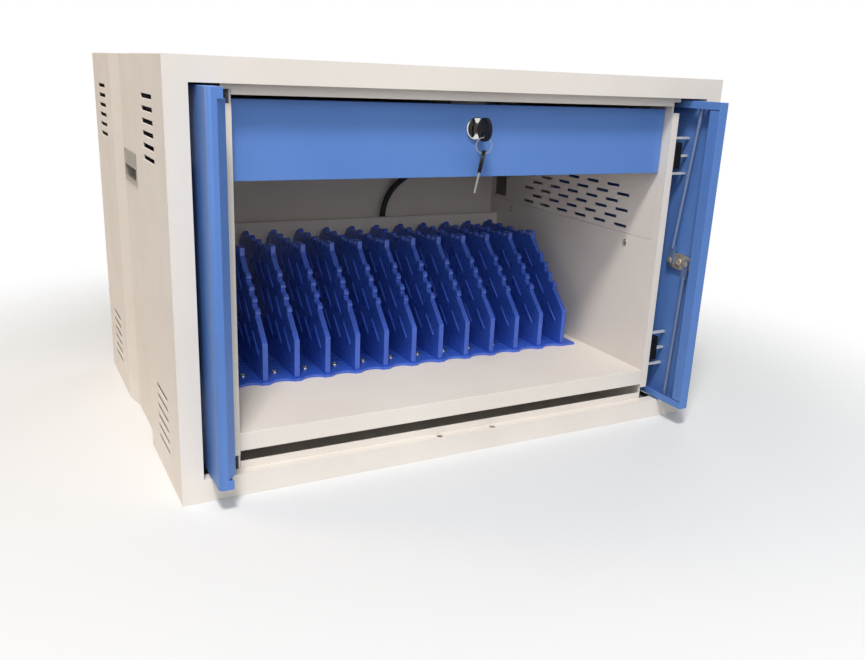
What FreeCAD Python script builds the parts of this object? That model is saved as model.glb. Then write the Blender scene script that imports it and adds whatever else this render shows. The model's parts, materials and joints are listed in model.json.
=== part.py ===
import FreeCAD, Part
import math
import os
import re
import Sketcher
from FreeCAD import Placement, Rotation, Vector

# A desk-top charging cabinet of folded sheet steel: a grooved outer case, a framed front with two
# doors that slide back into side pockets, a locking drawer, and a shelf of upright device dividers.
# Millimetres. X runs to the right, Y to the back, Z up. The origin is the middle of the underside.

SIZES = {
    # The case and the sheet it is folded from
    "cabinet_width": 600,
    "cabinet_depth": 425,
    "cabinet_height": 393,
    "sheet": 1.5,
    "running_gap": 0.3,
    "cut_overrun": 2,
    # The front frame, its jamb and the stop strips behind the doors
    "frame_side": 20,
    "frame_top": 21,
    "frame_bottom": 22,
    "jamb_depth": 12,
    "stop_drop": 9,
    "stop_rise": 7.5,
    "stop_ear": 9,
    "stop_ear_drop": 4.5,
    "sill_hole_radius": 3.4,
    "sill_hole_spacing": 64.8,
    "sill_hole_setback": 5.4,
    # The groove pressed into each side
    "groove_depth": 6,
    "groove_floor": 86,
    "groove_ramp": 29.5,
    "groove_shift": 5,
    # The cooling slots in each side
    "slot_length": 53,
    "slot_height": 4,
    "slot_pitch": 10.8,
    "slot_rows": 6,
    "slot_front_inset": 50,
    "slot_rear_inset": 38,
    "slot_top_drop": 37.5,
    "slot_foot_rise": 28,
    # The carrying grips in the grooves
    "grip_width": 74,
    "grip_height": 33,
    "grip_drop": 95.5,
    "grip_depth": 15,
    "grip_wall": 2,
    "grip_rim": 2,
    "grip_rim_proud": 1,
    "grip_lip": 14,
    # The inner walls with their front posts
    "wall_inset": 57,
    "post_width": 9,
    "post_foot": 36,
    "post_head_gap": 37,
    "post_return": 8,
    "back_setback": 375,
    "window_foot": 213.6,
    "window_front": 22,
    "window_rear": 372,
    "tab_drop": 20,
    "tab_overlap": 6,
    # The vents in the inner walls
    "vent_length": 24,
    "vent_height": 3.6,
    "vent_bevel": 1.1,
    "vent_pitch": 39.3,
    "vent_row_pitch": 9.25,
    "vent_front": 66.7,
    "vent_foot": 221,
    "vent_columns": 6,
    "vent_rows": 4,
    "duct_front": 334,
    "duct_width": 30,
    "duct_foot": 219,
    "duct_height": 66,
    # The shelf and the low rail behind the devices
    "shelf_top": 58,
    "shelf_lip": 18,
    "rail_setback": 355,
    "rail_top": 192,
    "rail_flange": 5,
    "rail_foot": 15,
    # The device dividers and their base
    "divider_count": 13,
    "divider_margin": 29.4,
    "divider_shift": -5,
    "divider_thickness": 6,
    "divider_front": 126,
    "divider_length": 214,
    "divider_nose": 42,
    "slope_run": 84,
    "slope_rise": 82,
    "heel_drop": 12,
    "knob_count": 4,
    "knob_radius": 4.6,
    "knob_pitch": 15.4,
    "knob_start": 40,
    "tooth_count": 4,
    "tooth_height": 4,
    "tooth_length": 9,
    "tooth_pitch": 27,
    "tooth_start": 24,
    "eye_length": 15,
    "eye_height": 9,
    "eye_wall": 2.4,
    "rib_length": 30,
    "rib_width": 3,
    "rib_height": 0.9,
    "rib_pitch": 42,
    "rib_row_pitch": 31,
    "rib_start": -1,
    "rib_inset": 23,
    "rib_count": 3,
    "base_thickness": 3,
    "base_lead": 4,
    "base_tail": 4,
    "scallop_depth": 6,
    "scallop_width": 27,
    # The drawer
    "drawer_setback": 22.5,
    "drawer_head_gap": 33.5,
    "drawer_height": 69.5,
    "drawer_side_gap": 1,
    "drawer_flange": 12,
    "tray_sheet": 1.2,
    "tray_lift": 2,
    "tray_height": 46,
    "tray_depth": 300,
    "lock_notch_half": 20,
    "lock_notch_drop": 19,
    # The telescopic drawer slides
    "slide_sheet": 1.2,
    "slide_width": 12.5,
    "slide_height": 35,
    "slide_flange": 9.5,
    "slide_length": 285,
    "slide_setback": 42,
    "slide_rise": 22,
    # The drawer lock and its keys
    "lock_drop": 22.5,
    "bezel_radius": 10.7,
    "bezel_depth": 3.5,
    "bezel_lip": 0.8,
    "barrel_radius": 8,
    "barrel_length": 18,
    "core_radius": 5.5,
    "core_gap": 0.08,
    "core_recess": 0.6,
    "core_tail": 3,
    "core_tail_radius": 4,
    "nut_radius": 11,
    "nut_depth": 4,
    "cam_thickness": 2,
    "cam_width": 13,
    "cam_reach": 27,
    "catch_gap": 1.5,
    "catch_width": 40,
    "catch_drop": 34,
    "catch_foot": 18,
    "key_blade_width": 8,
    "key_blade_thickness": 2,
    "key_blade_depth": 15,
    "key_slot_gap": 0.05,
    "bow_radius": 11.2,
    "bow_thickness": 3.4,
    "bow_socket": 7,
    "bow_standoff": 4,
    "bow_hole_radius": 3.2,
    "bow_hole_inset": 5.2,
    "ring_radius": 7.6,
    "ring_wire": 0.45,
    "ring_seat_gap": 1.4,
    "ring_turn_angle": 31,
    "spare_seat_gap": 0.9,
    "spare_lean_angle": 10,
    "spare_blade_length": 19.5,
    # The doors, shown pushed back into their pockets
    "door_inset": 26.5,
    "door_sheet": 1.2,
    "left_door_standout": 31,
    "right_door_standout": 40,
    "door_width": 279,
    "door_foot": 24,
    "door_head_gap": 23,
    "door_flange": 13.5,
    "door_notch": 9,
    "door_fold": 4,
    "door_front": 8.5,
    "door_slope": 9,
    "door_slope_depth": 10,
    "door_hem": 3,
    "door_return": 14,
    "door_lip": 8,
    # The pocket rails, and the pivot shoes that run in them
    "rail_wall": 1.5,
    "rail_bore": 12,
    "rail_height": 15.5,
    "rail_start": 14,
    "rail_length": 236,
    "shoe_length": 16,
    "shoe_height": 12.4,
    "shoe_tail": 10,
    "collar_radius": 5,
    "pin_radius": 3,
    "pin_gap": 0.05,
    "pin_reach": 6,
    # The guide blocks at the pocket mouths
    "guide_height": 29,
    "guide_width": 10,
    "guide_depth": 9,
    "guide_upper_drop": 83,
    "guide_lower": 84,
    "finger_width": 3.6,
    "finger_thickness": 2.4,
    "finger_pitch": 19.5,
    "finger_count": 3,
    "finger_tip_gap": 0.5,
    # The rod lock on the right door
    "rod_lock_forward": 1.5,
    "rod_lock_height": 191,
    "clamp_nut_depth": 2.3,
    "crank_radius": 12.6,
    "crank_end": 7,
    "crank_thickness": 2,
    "crank_hub": 9,
    "crank_pin_radius": 2,
    "crank_pin_reach": 3.2,
    "rod_radius": 2.3,
    "rod_flat_length": 18,
    "rod_flat_width": 7.5,
    "rod_flat_thickness": 2.4,
    "rod_flat_gap": 0.3,
    "upper_guide_forward": 9.5,
    "lower_guide_forward": 6.8,
    "rod_end_drop": 2,
    "rod_slot_room": 3.8,
    # The shoot bolts on the left door
    "bolt_radius": 2.8,
    "bolt_length": 78,
    "bolt_gap": 0.1,
    "bolt_inset": 6.5,
    "bolt_forward": 4.5,
    "bolt_travel": 14,
    "bolt_guide_width": 14,
    "bolt_guide_height": 7,
    "bolt_guide_lead": 12,
    "bolt_guide_pitch": 46,
    "bolt_knob_radius": 4,
    "bolt_knob_reach": 9,
    # The power strip, the inlet and the cable between them
    "strip_length": 340,
    "strip_height": 45,
    "strip_depth": 30,
    "strip_drop": 48,
    "strip_shift": -30,
    "outlet_width": 26,
    "outlet_height": 22,
    "outlet_depth": 12,
    "outlet_pitch": 41,
    "outlet_count": 8,
    "inlet_width": 28,
    "inlet_height": 21,
    "inlet_depth": 30,
    "inlet_rim": 6,
    "inlet_rim_depth": 2,
    "inlet_wall": 2.5,
    "inlet_cavity": 16,
    "inlet_shift": 120,
    "inlet_rise": 95,
    "inlet_blade_width": 4,
    "inlet_blade_thickness": 2,
    "inlet_blade_pitch": 7,
    "cable_radius": 3.9,
    "cable_hole_radius": 8,
}

# The cable's route from the power strip down behind the rail to the inlet, chosen point by point.
CABLE_ROUTE = [
    (140, 151.5, 322),
    (174, 151.5, 320),
    (186, 151.5, 288),
    (152, 151.5, 264),
    (94, 151.5, 250),
    (61, 151.5, 217),
    (58, 151.5, 166),
    (66, 152, 126),
    (88, 152.5, 101),
    (117, 158, 95),
    (120, 182.5, 95),
]
# The cable's section is a polygon of this many sides.
CABLE_SIDES = 8
# An arc of the route takes this share of the shorter of the two runs that it joins.
ARC_SHARE = 0.45

# Edges and faces that many pieces are placed from
LEFT = "-cabinet_width / 2"
FRONT = "-cabinet_depth / 2"
BACK = "cabinet_depth / 2"
WALL = LEFT + " + wall_inset"
GROOVE_MIDDLE = "groove_shift"
DOOR_SKIN = LEFT + " + door_inset"
LEFT_EDGE = FRONT + " - left_door_standout"
RIGHT_EDGE = FRONT + " - right_door_standout"
DOOR_TOP = "(cabinet_height - door_head_gap)"
DRAWER_TOP = "(cabinet_height - drawer_head_gap)"
DRAWER_FOOT = "(cabinet_height - drawer_head_gap - drawer_height)"
GRIP_TOP = "(cabinet_height - grip_drop)"
STRIP_FOOT = "(cabinet_height - strip_drop - strip_height)"
LOCK_HEIGHT = "cabinet_height - drawer_head_gap - lock_drop"
DIVIDER_PITCH = "((cabinet_width - 2 * wall_inset - 2 * divider_margin) / (divider_count - 1))"
DRAWER_FACE = FRONT + " + drawer_setback"
BASE_TOP = "shelf_top + base_thickness"
ZERO = "0 * sheet"

doc = FreeCAD.newDocument("charging_cabinet")
sheet = doc.addObject("Spreadsheet::Sheet", "Sizes")
for row, (alias, number) in enumerate(SIZES.items(), 1):
    sheet.set("A%d" % row, alias)
    sheet.set("B%d" % row, str(number))
    sheet.setAlias("B%d" % row, alias)
doc.recompute()

WORD = re.compile(r"[a-z][a-z_0-9]*")
FUNCTIONS = ("sin", "cos", "tan", "atan", "sqrt")
nodes = {}


def size(alias):
    """One driving dimension, read from the sheet."""
    return float(sheet.get(alias))


def cell(expression):
    """Puts the sheet's name before every size that an expression names."""
    return WORD.sub(lambda m: m.group(0) if m.group(0) in FUNCTIONS else "Sizes." + m.group(0), expression)


def bind(item, prop, expression):
    item.setExpression(prop, cell(expression))


def settle():
    """Recomputes the document and stops at any object that failed."""
    doc.recompute()
    for item in doc.Objects:
        if "Invalid" in item.State or "Error" in item.State:
            raise RuntimeError("%s failed: %s" % (item.Name, item.State))


def node(label, item):
    """Marks a finished sub-part, which is written under its label."""
    item.Label = label
    nodes[label] = item
    return item


# Solids from primitives and booleans


def box(x, y, z):
    """A box between a low and a high expression on each axis."""
    item = doc.addObject("Part::Box", "Box")
    for prop, axis, (low, high) in zip(("Length", "Width", "Height"), "xyz", (x, y, z)):
        bind(item, prop, "(%s) - (%s)" % (high, low))
        bind(item, "Placement.Base.%s" % axis, low)
    return item


TURN = {
    "x": Rotation(Vector(0, 1, 0), 90),
    "y": Rotation(Vector(1, 0, 0), -90),
    "z": Rotation(),
}


def cylinder(axis, start, radius, length):
    """A round bar from a start point along a positive axis."""
    item = doc.addObject("Part::Cylinder", "Cylinder")
    item.Placement = Placement(Vector(), TURN[axis])
    for name, expression in zip("xyz", start):
        bind(item, "Placement.Base.%s" % name, expression)
    bind(item, "Radius", radius)
    bind(item, "Height", length)
    return item


def fuse(*items):
    joined = doc.addObject("Part::MultiFuse", "Fuse")
    joined.Shapes = list(items)
    joined.Refine = True
    return joined


def cut(base, *tools):
    result = doc.addObject("Part::Cut", "Cut")
    result.Base = base
    result.Tool = tools[0] if len(tools) == 1 else group(*tools)
    result.Refine = True
    return result


def group(*items):
    """Separate solids that share one node."""
    bundle = doc.addObject("Part::Compound", "Group")
    bundle.Links = list(items)
    return bundle


def mirror(item):
    """The same piece on the other side of the cabinet."""
    other = doc.addObject("Part::Mirroring", "Mirror")
    other.Source = item
    other.Normal = Vector(1, 0, 0)
    return other


# Bodies from sketches

PLANES = {"XY": "XY_Plane", "XZ": "XZ_Plane", "YZ": "YZ_Plane"}


def body():
    return doc.addObject("PartDesign::Body", "Body")


def sketch(owner, plane, at):
    """An empty sketch on one of the body's own planes, moved along the plane's axis to a place."""
    origin = [item for item in owner.Origin.OriginFeatures if item.Role == PLANES[plane]][0]
    drawing = owner.newObject("Sketcher::SketchObject", "Sketch")
    drawing.AttachmentSupport = (origin, [""])
    drawing.MapMode = "FlatFace"
    # The XZ plane looks along -Y, so its offset counts backwards.
    bind(drawing, "AttachmentOffset.Base.z", "-(%s)" % at if plane == "XZ" else at)
    return drawing


def tie(drawing, kind, element, point, expression):
    """Dimensions one point of a sketch from the sketch's origin."""
    index = drawing.addConstraint(Sketcher.Constraint(kind, -1, 1, element, point, 1.0))
    drawing.setExpression("Constraints[%d]" % index, cell(expression))


def outline(drawing, points):
    """A closed polygon whose every corner is dimensioned by two expressions."""
    count = len(points)
    first = drawing.GeometryCount
    turns = [2 * math.pi * i / count for i in range(count)]
    corners = [Vector(math.cos(turn), math.sin(turn), 0) for turn in turns]
    for i in range(count):
        drawing.addGeometry(Part.LineSegment(corners[i], corners[(i + 1) % count]))
    for i in range(count):
        drawing.addConstraint(Sketcher.Constraint("Coincident", first + i, 2, first + (i + 1) % count, 1))
    for i, (across, up) in enumerate(points):
        tie(drawing, "DistanceX", first + i, 1, across)
        tie(drawing, "DistanceY", first + i, 1, up)
    return drawing


def rectangle(drawing, across, up):
    (u0, u1), (v0, v1) = across, up
    return outline(drawing, [(u0, v0), (u1, v0), (u1, v1), (u0, v1)])


def circle(drawing, across, up, radius):
    element = drawing.addGeometry(Part.Circle(Vector(1, 1, 0), Vector(0, 0, 1), 1))
    tie(drawing, "DistanceX", element, 3, across)
    tie(drawing, "DistanceY", element, 3, up)
    index = drawing.addConstraint(Sketcher.Constraint("Radius", element, 1.0))
    drawing.setExpression("Constraints[%d]" % index, cell(radius))
    return drawing


def pad(owner, drawing, length, backwards=False, both=False):
    feature = owner.newObject("PartDesign::Pad", "Pad")
    feature.Profile = drawing
    bind(feature, "Length", length)
    feature.Reversed = backwards
    feature.Midplane = both
    owner.Tip = feature
    return feature


def pocket(owner, drawing, length=None, backwards=False):
    """A cut of a stated depth against the sketch's normal, or right through both ways."""
    feature = owner.newObject("PartDesign::Pocket", "Pocket")
    feature.Profile = drawing
    if length is None:
        feature.Type = "ThroughAll"
        feature.Midplane = True
    else:
        bind(feature, "Length", length)
        feature.Reversed = backwards
    owner.Tip = feature
    return feature


def repeat(owner, feature, drawing, count, spacing, rows=None, row_spacing=None, axes=("H_Axis", "V_Axis")):
    """Repeats a feature along one axis of its sketch, or two, of which the second can be another sketch's."""
    pattern = owner.newObject("PartDesign::LinearPattern", "Pattern")
    pattern.Originals = [feature]
    drawing, other = drawing if isinstance(drawing, tuple) else (drawing, drawing)
    pattern.Direction = (drawing, [axes[0]])
    pattern.Mode = "Spacing"
    bind(pattern, "Offset", spacing)
    bind(pattern, "Occurrences", count)
    if rows:
        pattern.Direction2 = (other, [axes[1]])
        pattern.Mode2 = "Spacing"
        bind(pattern, "Offset2", row_spacing)
        bind(pattern, "Occurrences2", rows)
    owner.Tip = pattern
    return pattern


def revolve(owner, drawing, axis):
    feature = owner.newObject("PartDesign::Revolution", "Revolution")
    feature.Profile = drawing
    feature.ReferenceAxis = (drawing, [axis])
    feature.Angle = 360
    owner.Tip = feature
    return feature


# The outer case


def groove_line(side, inset):
    """The plan line of one side from front to back, moved inwards by an inset."""
    flat = "%s * (cabinet_width / 2 - %s)" % (side, inset)
    deep = "%s * (cabinet_width / 2 - %s - groove_depth)" % (side, inset)
    floor = "groove_floor / 2"
    return [
        (flat, GROOVE_MIDDLE + " - %s - groove_ramp" % floor),
        (deep, GROOVE_MIDDLE + " - %s" % floor),
        (deep, GROOVE_MIDDLE + " + %s" % floor),
        (flat, GROOVE_MIDDLE + " + %s + groove_ramp" % floor),
    ]


def side_panel():
    """A folded side with its pressed groove, slots above and below near both edges and the grip's cut-out."""
    panel = body()
    front = FRONT + " + sheet"
    outer = [(LEFT, front)] + groove_line("-1", "0 * sheet") + [(LEFT, BACK)]
    inner = [(LEFT + " + sheet", front)] + groove_line("-1", "sheet") + [(LEFT + " + sheet", BACK)]
    pad(panel, outline(sketch(panel, "XY", ZERO), outer + inner[::-1]), "cabinet_height")
    top = "cabinet_height - slot_top_drop - (slot_rows - 1) * slot_pitch"
    for start in (FRONT + " + slot_front_inset", BACK + " - slot_rear_inset - slot_length"):
        for foot in (top, "slot_foot_rise"):
            drawing = sketch(panel, "YZ", LEFT)
            rectangle(drawing, (start, start + " + slot_length"), (foot, foot + " + slot_height"))
            slot = pocket(panel, drawing)
            repeat(panel, slot, drawing, "slot_rows", "slot_pitch", axes=("V_Axis", "H_Axis"))
    half = "(grip_width / 2 - grip_rim)"
    drawing = sketch(panel, "YZ", LEFT)
    across = (GROOVE_MIDDLE + " - " + half, GROOVE_MIDDLE + " + " + half)
    rectangle(drawing, across, (GRIP_TOP + " - grip_height + grip_rim", GRIP_TOP + " - grip_rim"))
    pocket(panel, drawing)
    return panel


def flat_panel(height):
    """The top or the bottom, a sheet that follows the grooves of both sides."""
    panel = body()
    front = FRONT + " + sheet"
    back = BACK + " - sheet"
    left = "-cabinet_width / 2 + sheet"
    right = "cabinet_width / 2 - sheet"
    points = [(left, front)] + groove_line("-1", "sheet") + [(left, back), (right, back)]
    points += groove_line("1", "sheet")[::-1] + [(right, front)]
    pad(panel, outline(sketch(panel, "XY", height), points), "sheet")
    return panel


def back_panel():
    panel = body()
    across = (LEFT + " + sheet", "cabinet_width / 2 - sheet")
    pad(panel, rectangle(sketch(panel, "XZ", BACK), across, (ZERO, "cabinet_height")), "sheet")
    half = "inlet_width / 2"
    across = ("inlet_shift - " + half, "inlet_shift + " + half)
    up = ("inlet_rise - inlet_height / 2", "inlet_rise + inlet_height / 2")
    pocket(panel, rectangle(sketch(panel, "XZ", BACK), across, up))
    return panel


def front_frame():
    """The front face with its opening, the jamb folded back round it and the stop strips."""
    frame = body()
    side = "(cabinet_width / 2 - frame_side)"
    head = "cabinet_height - frame_top"
    opening = (("-" + side, side), ("frame_bottom", head))
    face = sketch(frame, "XZ", FRONT)
    rectangle(face, (LEFT, "cabinet_width / 2"), (ZERO, "cabinet_height"))
    rectangle(face, *opening)
    pad(frame, face, "sheet", backwards=True)
    jamb = sketch(frame, "XZ", FRONT)
    rectangle(jamb, ("-%s - sheet" % side, side + " + sheet"), ("frame_bottom - sheet", head + " + sheet"))
    rectangle(jamb, *opening)
    pad(frame, jamb, "jamb_depth", backwards=True)
    inner = "(cabinet_width / 2 - wall_inset)"
    ear = "(cabinet_width / 2 - wall_inset + stop_ear)"
    strip = sketch(frame, "XZ", FRONT + " + jamb_depth")
    low = head + " - stop_drop"
    step = head + " - stop_ear_drop"
    left_end = [("-" + ear, head + " + sheet"), ("-" + ear, step), ("-" + inner, step), ("-" + inner, low)]
    right_end = [(inner, low), (inner, step), (ear, step), (ear, head + " + sheet")]
    outline(strip, left_end + right_end)
    pad(frame, strip, "sheet")
    sill = sketch(frame, "XZ", FRONT + " + jamb_depth")
    rectangle(sill, ("-" + inner, inner), ("frame_bottom - sheet", "frame_bottom + stop_rise"))
    pad(frame, sill, "sheet")
    holes = sketch(frame, "XY", "frame_bottom")
    for sign in ("-", ""):
        circle(holes, sign + "sill_hole_spacing / 2", FRONT + " + sill_hole_setback", "sill_hole_radius")
    pocket(frame, holes, "sheet + cut_overrun")
    return frame


def grip():
    """A moulded carrying grip: a rim on the groove's floor and a cup that runs up behind its lip."""
    cup = body()
    floor = LEFT + " + groove_depth"
    half = "grip_width / 2"
    low = GRIP_TOP + " - grip_height"
    rim = (GROOVE_MIDDLE + " - " + half, GROOVE_MIDDLE + " + " + half)
    hole = (rim[0] + " + grip_rim", rim[1] + " - grip_rim")
    pad(cup, rectangle(sketch(cup, "YZ", floor + " - grip_rim_proud"), rim, (low, GRIP_TOP)), "grip_rim_proud")
    up = (low + " + grip_rim", GRIP_TOP + " - grip_rim")
    pad(cup, rectangle(sketch(cup, "YZ", floor), hole, up), "grip_depth")
    wall = "grip_wall"
    across = (hole[0] + " + " + wall, hole[1] + " - " + wall)
    mouth = (up[0] + " + " + wall, GRIP_TOP + " - grip_rim - grip_lip")
    deep = "grip_depth + grip_rim_proud - grip_wall"
    drawing = rectangle(sketch(cup, "YZ", floor + " - grip_rim_proud"), across, mouth)
    pocket(cup, drawing, deep, backwards=True)
    hook = (mouth[0], up[1] + " - " + wall)
    drawing = rectangle(sketch(cup, "YZ", floor + " + grip_wall"), across, hook)
    pocket(cup, drawing, "grip_depth - 2 * grip_wall", backwards=True)
    return cup


def outer_case():
    left = node("left_side_panel", side_panel())
    node("right_side_panel", mirror(left))
    node("top_panel", flat_panel("cabinet_height - sheet"))
    node("bottom_panel", flat_panel(ZERO))
    node("back_panel", back_panel())
    node("front_frame", front_frame())
    left = node("left_grip", grip())
    node("right_grip", mirror(left))


# The inner box


def inner_wall():
    """A pocket's inner wall: a full-height sheet with a folded post at the mouth and a window for the vents."""
    wall = body()
    front = FRONT + " + jamb_depth"
    face = WALL
    sheet_line = (WALL + " - sheet", face)
    plan = rectangle(sketch(wall, "XY", "sheet"), sheet_line, (front, FRONT + " + back_setback"))
    pad(wall, plan, "cabinet_height - 2 * sheet")
    post = WALL + " - post_width"
    flange = [
        (face, front),
        (post + " + sheet", front),
        (post + " + sheet", front + " + post_return"),
        (post, front + " + post_return"),
        (post, front + " - sheet"),
        (face, front + " - sheet"),
    ]
    pad(wall, outline(sketch(wall, "XY", "post_foot"), flange), "cabinet_height - post_head_gap - post_foot")
    across = (FRONT + " + window_front", FRONT + " + window_rear")
    window = rectangle(sketch(wall, "YZ", WALL), across, ("window_foot", "cabinet_height"))
    pocket(wall, window)
    return wall


def vent_panel():
    """The upper part of a wall, joggled behind the lower, with staggered rows of vents and a cable cut-out."""
    panel = body()
    gap = "running_gap"
    front = FRONT + " + window_front + " + gap
    face = WALL
    back = WALL + " - sheet"
    tab = WALL + " - 2 * sheet"
    foot = "window_foot + " + gap
    head = "cabinet_height - sheet"
    section = [
        (face, foot),
        (face, head),
        (back, head),
        (back, "window_foot + tab_overlap"),
        (tab, "window_foot + tab_overlap"),
        (tab, "window_foot - tab_drop"),
        (back, "window_foot - tab_drop"),
        (back, foot),
    ]
    drawing = outline(sketch(panel, "XZ", front), section)
    pad(panel, drawing, "window_rear - window_front - 2 * " + gap, backwards=True)
    bevel = "vent_bevel"
    for row in (0, 1):
        stagger = " + %d * vent_pitch / 2" % row
        near = FRONT + " + vent_front" + stagger
        far = near + " + vent_length"
        low = "vent_foot + %d * vent_row_pitch - vent_height / 2" % row
        high = low + " + vent_height"
        slot = [
            (near + " + " + bevel, low),
            (far + " - " + bevel, low),
            (far, low + " + " + bevel),
            (far, high + " - " + bevel),
            (far + " - " + bevel, high),
            (near + " + " + bevel, high),
            (near, high + " - " + bevel),
            (near, low + " + " + bevel),
        ]
        drawing = outline(sketch(panel, "YZ", WALL), slot)
        vent = pocket(panel, drawing)
        columns = "vent_columns - %d" % row
        repeat(panel, vent, drawing, columns, "vent_pitch", "vent_rows", "2 * vent_row_pitch")
    across = (FRONT + " + duct_front", FRONT + " + duct_front + duct_width")
    pocket(panel, rectangle(sketch(panel, "YZ", WALL), across, ("duct_foot", "duct_foot + duct_height")))
    return panel


def shelf():
    """The shelf with its folded front lip."""
    plate = body()
    front = FRONT + " + jamb_depth - sheet"
    section = [
        (front, "shelf_top - shelf_lip"),
        (front + " + sheet", "shelf_top - shelf_lip"),
        (front + " + sheet", "shelf_top - sheet"),
        (FRONT + " + back_setback", "shelf_top - sheet"),
        (FRONT + " + back_setback", "shelf_top"),
        (front, "shelf_top"),
    ]
    pad(plate, outline(sketch(plate, "YZ", ZERO), section), "cabinet_width - 2 * wall_inset", both=True)
    return plate


def rear_rail():
    """The low rail behind the devices, with a small top fold and a foot on the shelf."""
    rail = body()
    front = FRONT + " + rail_setback"
    section = [
        (front, "shelf_top"),
        (front + " + rail_foot", "shelf_top"),
        (front + " + rail_foot", "shelf_top + sheet"),
        (front + " + sheet", "shelf_top + sheet"),
        (front + " + sheet", "rail_top - sheet"),
        (front + " + rail_flange", "rail_top - sheet"),
        (front + " + rail_flange", "rail_top"),
        (front, "rail_top"),
    ]
    pad(rail, outline(sketch(rail, "YZ", ZERO), section), "cabinet_width - 2 * wall_inset", both=True)
    return rail


def inner_back():
    """The wall behind the compartment, with the cable's hole."""
    x = (WALL + " - sheet", "cabinet_width / 2 - wall_inset + sheet")
    y = (FRONT + " + back_setback", FRONT + " + back_setback + sheet")
    plate = box(x, y, ("sheet", "cabinet_height - sheet"))
    start = ("inlet_shift", FRONT + " + back_setback - cut_overrun", "inlet_rise")
    return cut(plate, cylinder("y", start, "cable_hole_radius", "sheet + 2 * cut_overrun"))


def inner_box():
    left = node("left_inner_wall", inner_wall())
    node("right_inner_wall", mirror(left))
    left = node("left_vent_panel", vent_panel())
    node("right_vent_panel", mirror(left))
    node("shelf", shelf())
    node("rear_rail", rear_rail())
    node("inner_back", inner_back())


# The device dividers


def divider():
    """One moulded divider at the middle of the cabinet: a plate with a sloped front, knobs for the leads,
    a toothed top, an eye and rows of slanted ribs on both faces."""
    plate = body()
    front = FRONT + " + divider_front"
    nose = BASE_TOP + " + divider_nose"
    crest = nose + " + slope_rise"
    back = front + " + divider_length"
    profile = [
        (front, BASE_TOP),
        (back, BASE_TOP),
        (back, crest + " - heel_drop"),
        (back + " - heel_drop", crest),
        (front + " + slope_run", crest),
        (front, nose),
    ]
    pad(plate, outline(sketch(plate, "YZ", ZERO), profile), "divider_thickness", both=True)
    slope = "atan(slope_rise / slope_run)"
    knob = sketch(plate, "YZ", ZERO)
    on_slope(knob, front, nose, slope)
    half = "knob_radius / 2"
    bump = [
        ("knob_start - knob_radius", "-knob_radius"),
        ("knob_start + knob_radius", "-knob_radius"),
        ("knob_start + knob_radius", half),
        ("knob_start + " + half, "knob_radius"),
        ("knob_start - " + half, "knob_radius"),
        ("knob_start - knob_radius", half),
    ]
    feature = pad(plate, outline(knob, bump), "divider_thickness", both=True)
    repeat(plate, feature, knob, "knob_count", "knob_pitch")
    tooth = sketch(plate, "YZ", ZERO)
    start = front + " + slope_run + tooth_start"
    teeth = [
        (start, crest + " - tooth_height"),
        (start + " + tooth_length", crest + " - tooth_height"),
        (start + " + tooth_length", crest),
        (start + " + tooth_length / 2", crest + " + tooth_height"),
        (start, crest + " + tooth_height / 2"),
    ]
    feature = pad(plate, outline(tooth, teeth), "divider_thickness", both=True)
    repeat(plate, feature, tooth, "tooth_count", "tooth_pitch")
    eye = sketch(plate, "YZ", ZERO)
    start = front + " + slope_run - eye_wall"
    rise = (crest + " - eye_wall", crest + " + eye_height - eye_wall")
    rectangle(eye, (start, start + " + eye_length"), rise)
    inside = (start + " + eye_wall", start + " + eye_length - eye_wall")
    rectangle(eye, inside, (crest, crest + " + eye_height - 2 * eye_wall"))
    pad(plate, eye, "divider_thickness", both=True)
    rib = sketch(plate, "YZ", ZERO)
    on_slope(rib, front, nose, slope)
    rectangle(rib, ("rib_start", "rib_start + rib_length"), ("-rib_inset", "-rib_inset + rib_width"))
    feature = pad(plate, rib, "divider_thickness + 2 * rib_height", both=True)
    axes = ("H_Axis", "H_Axis")
    repeat(plate, feature, (rib, tooth), "rib_count", "rib_pitch", "rib_count", "rib_row_pitch", axes)
    return plate


def on_slope(drawing, across, up, angle):
    """Turns a sketch to run up a divider's sloped edge from the edge's foot."""
    bind(drawing, "AttachmentOffset.Base.x", across)
    bind(drawing, "AttachmentOffset.Base.y", up)
    bind(drawing, "AttachmentOffset.Rotation.Angle", angle)


def divider_base():
    """The base moulding under the dividers, scalloped between them along its front edge."""
    base = body()
    half = "divider_count * %s / 2" % DIVIDER_PITCH
    front = FRONT + " + divider_front - base_lead"
    back = FRONT + " + divider_front + divider_length + base_tail"
    across = ("divider_shift - " + half, "divider_shift + " + half)
    pad(base, rectangle(sketch(base, "XY", "shelf_top"), across, (front, back)), "base_thickness")
    # A circle through the ends and the deepest point of a scallop
    radius = "(scallop_width * scallop_width / 4 + scallop_depth * scallop_depth) / (2 * scallop_depth)"
    drawing = sketch(base, "XY", "shelf_top + base_thickness")
    first = "divider_shift - (divider_count - 2) * %s / 2" % DIVIDER_PITCH
    circle(drawing, first, "%s + scallop_depth - %s" % (front, radius), radius)
    scallop = pocket(base, drawing)
    repeat(base, scallop, drawing, "divider_count - 1", DIVIDER_PITCH)
    return base


def copies(label, item, places):
    """Separate copies of one solid, at offsets from where it was made."""
    settle()
    feature = doc.addObject("Part::Feature", label)
    solids = [item.Shape.Solids[0].translated(place) for place in places]
    feature.Shape = Part.makeCompound(solids)
    return node(label, feature)


def dividers():
    """The row of dividers, spread over the clear width between its margins, and their base."""
    count = int(size("divider_count"))
    span = size("cabinet_width") - 2 * size("wall_inset") - 2 * size("divider_margin")
    first = size("divider_shift") - span / 2
    copies("dividers", divider(), [Vector(first + i * span / (count - 1), 0, 0) for i in range(count)])
    node("divider_base", divider_base())


# The drawer, its slides and its lock


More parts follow.
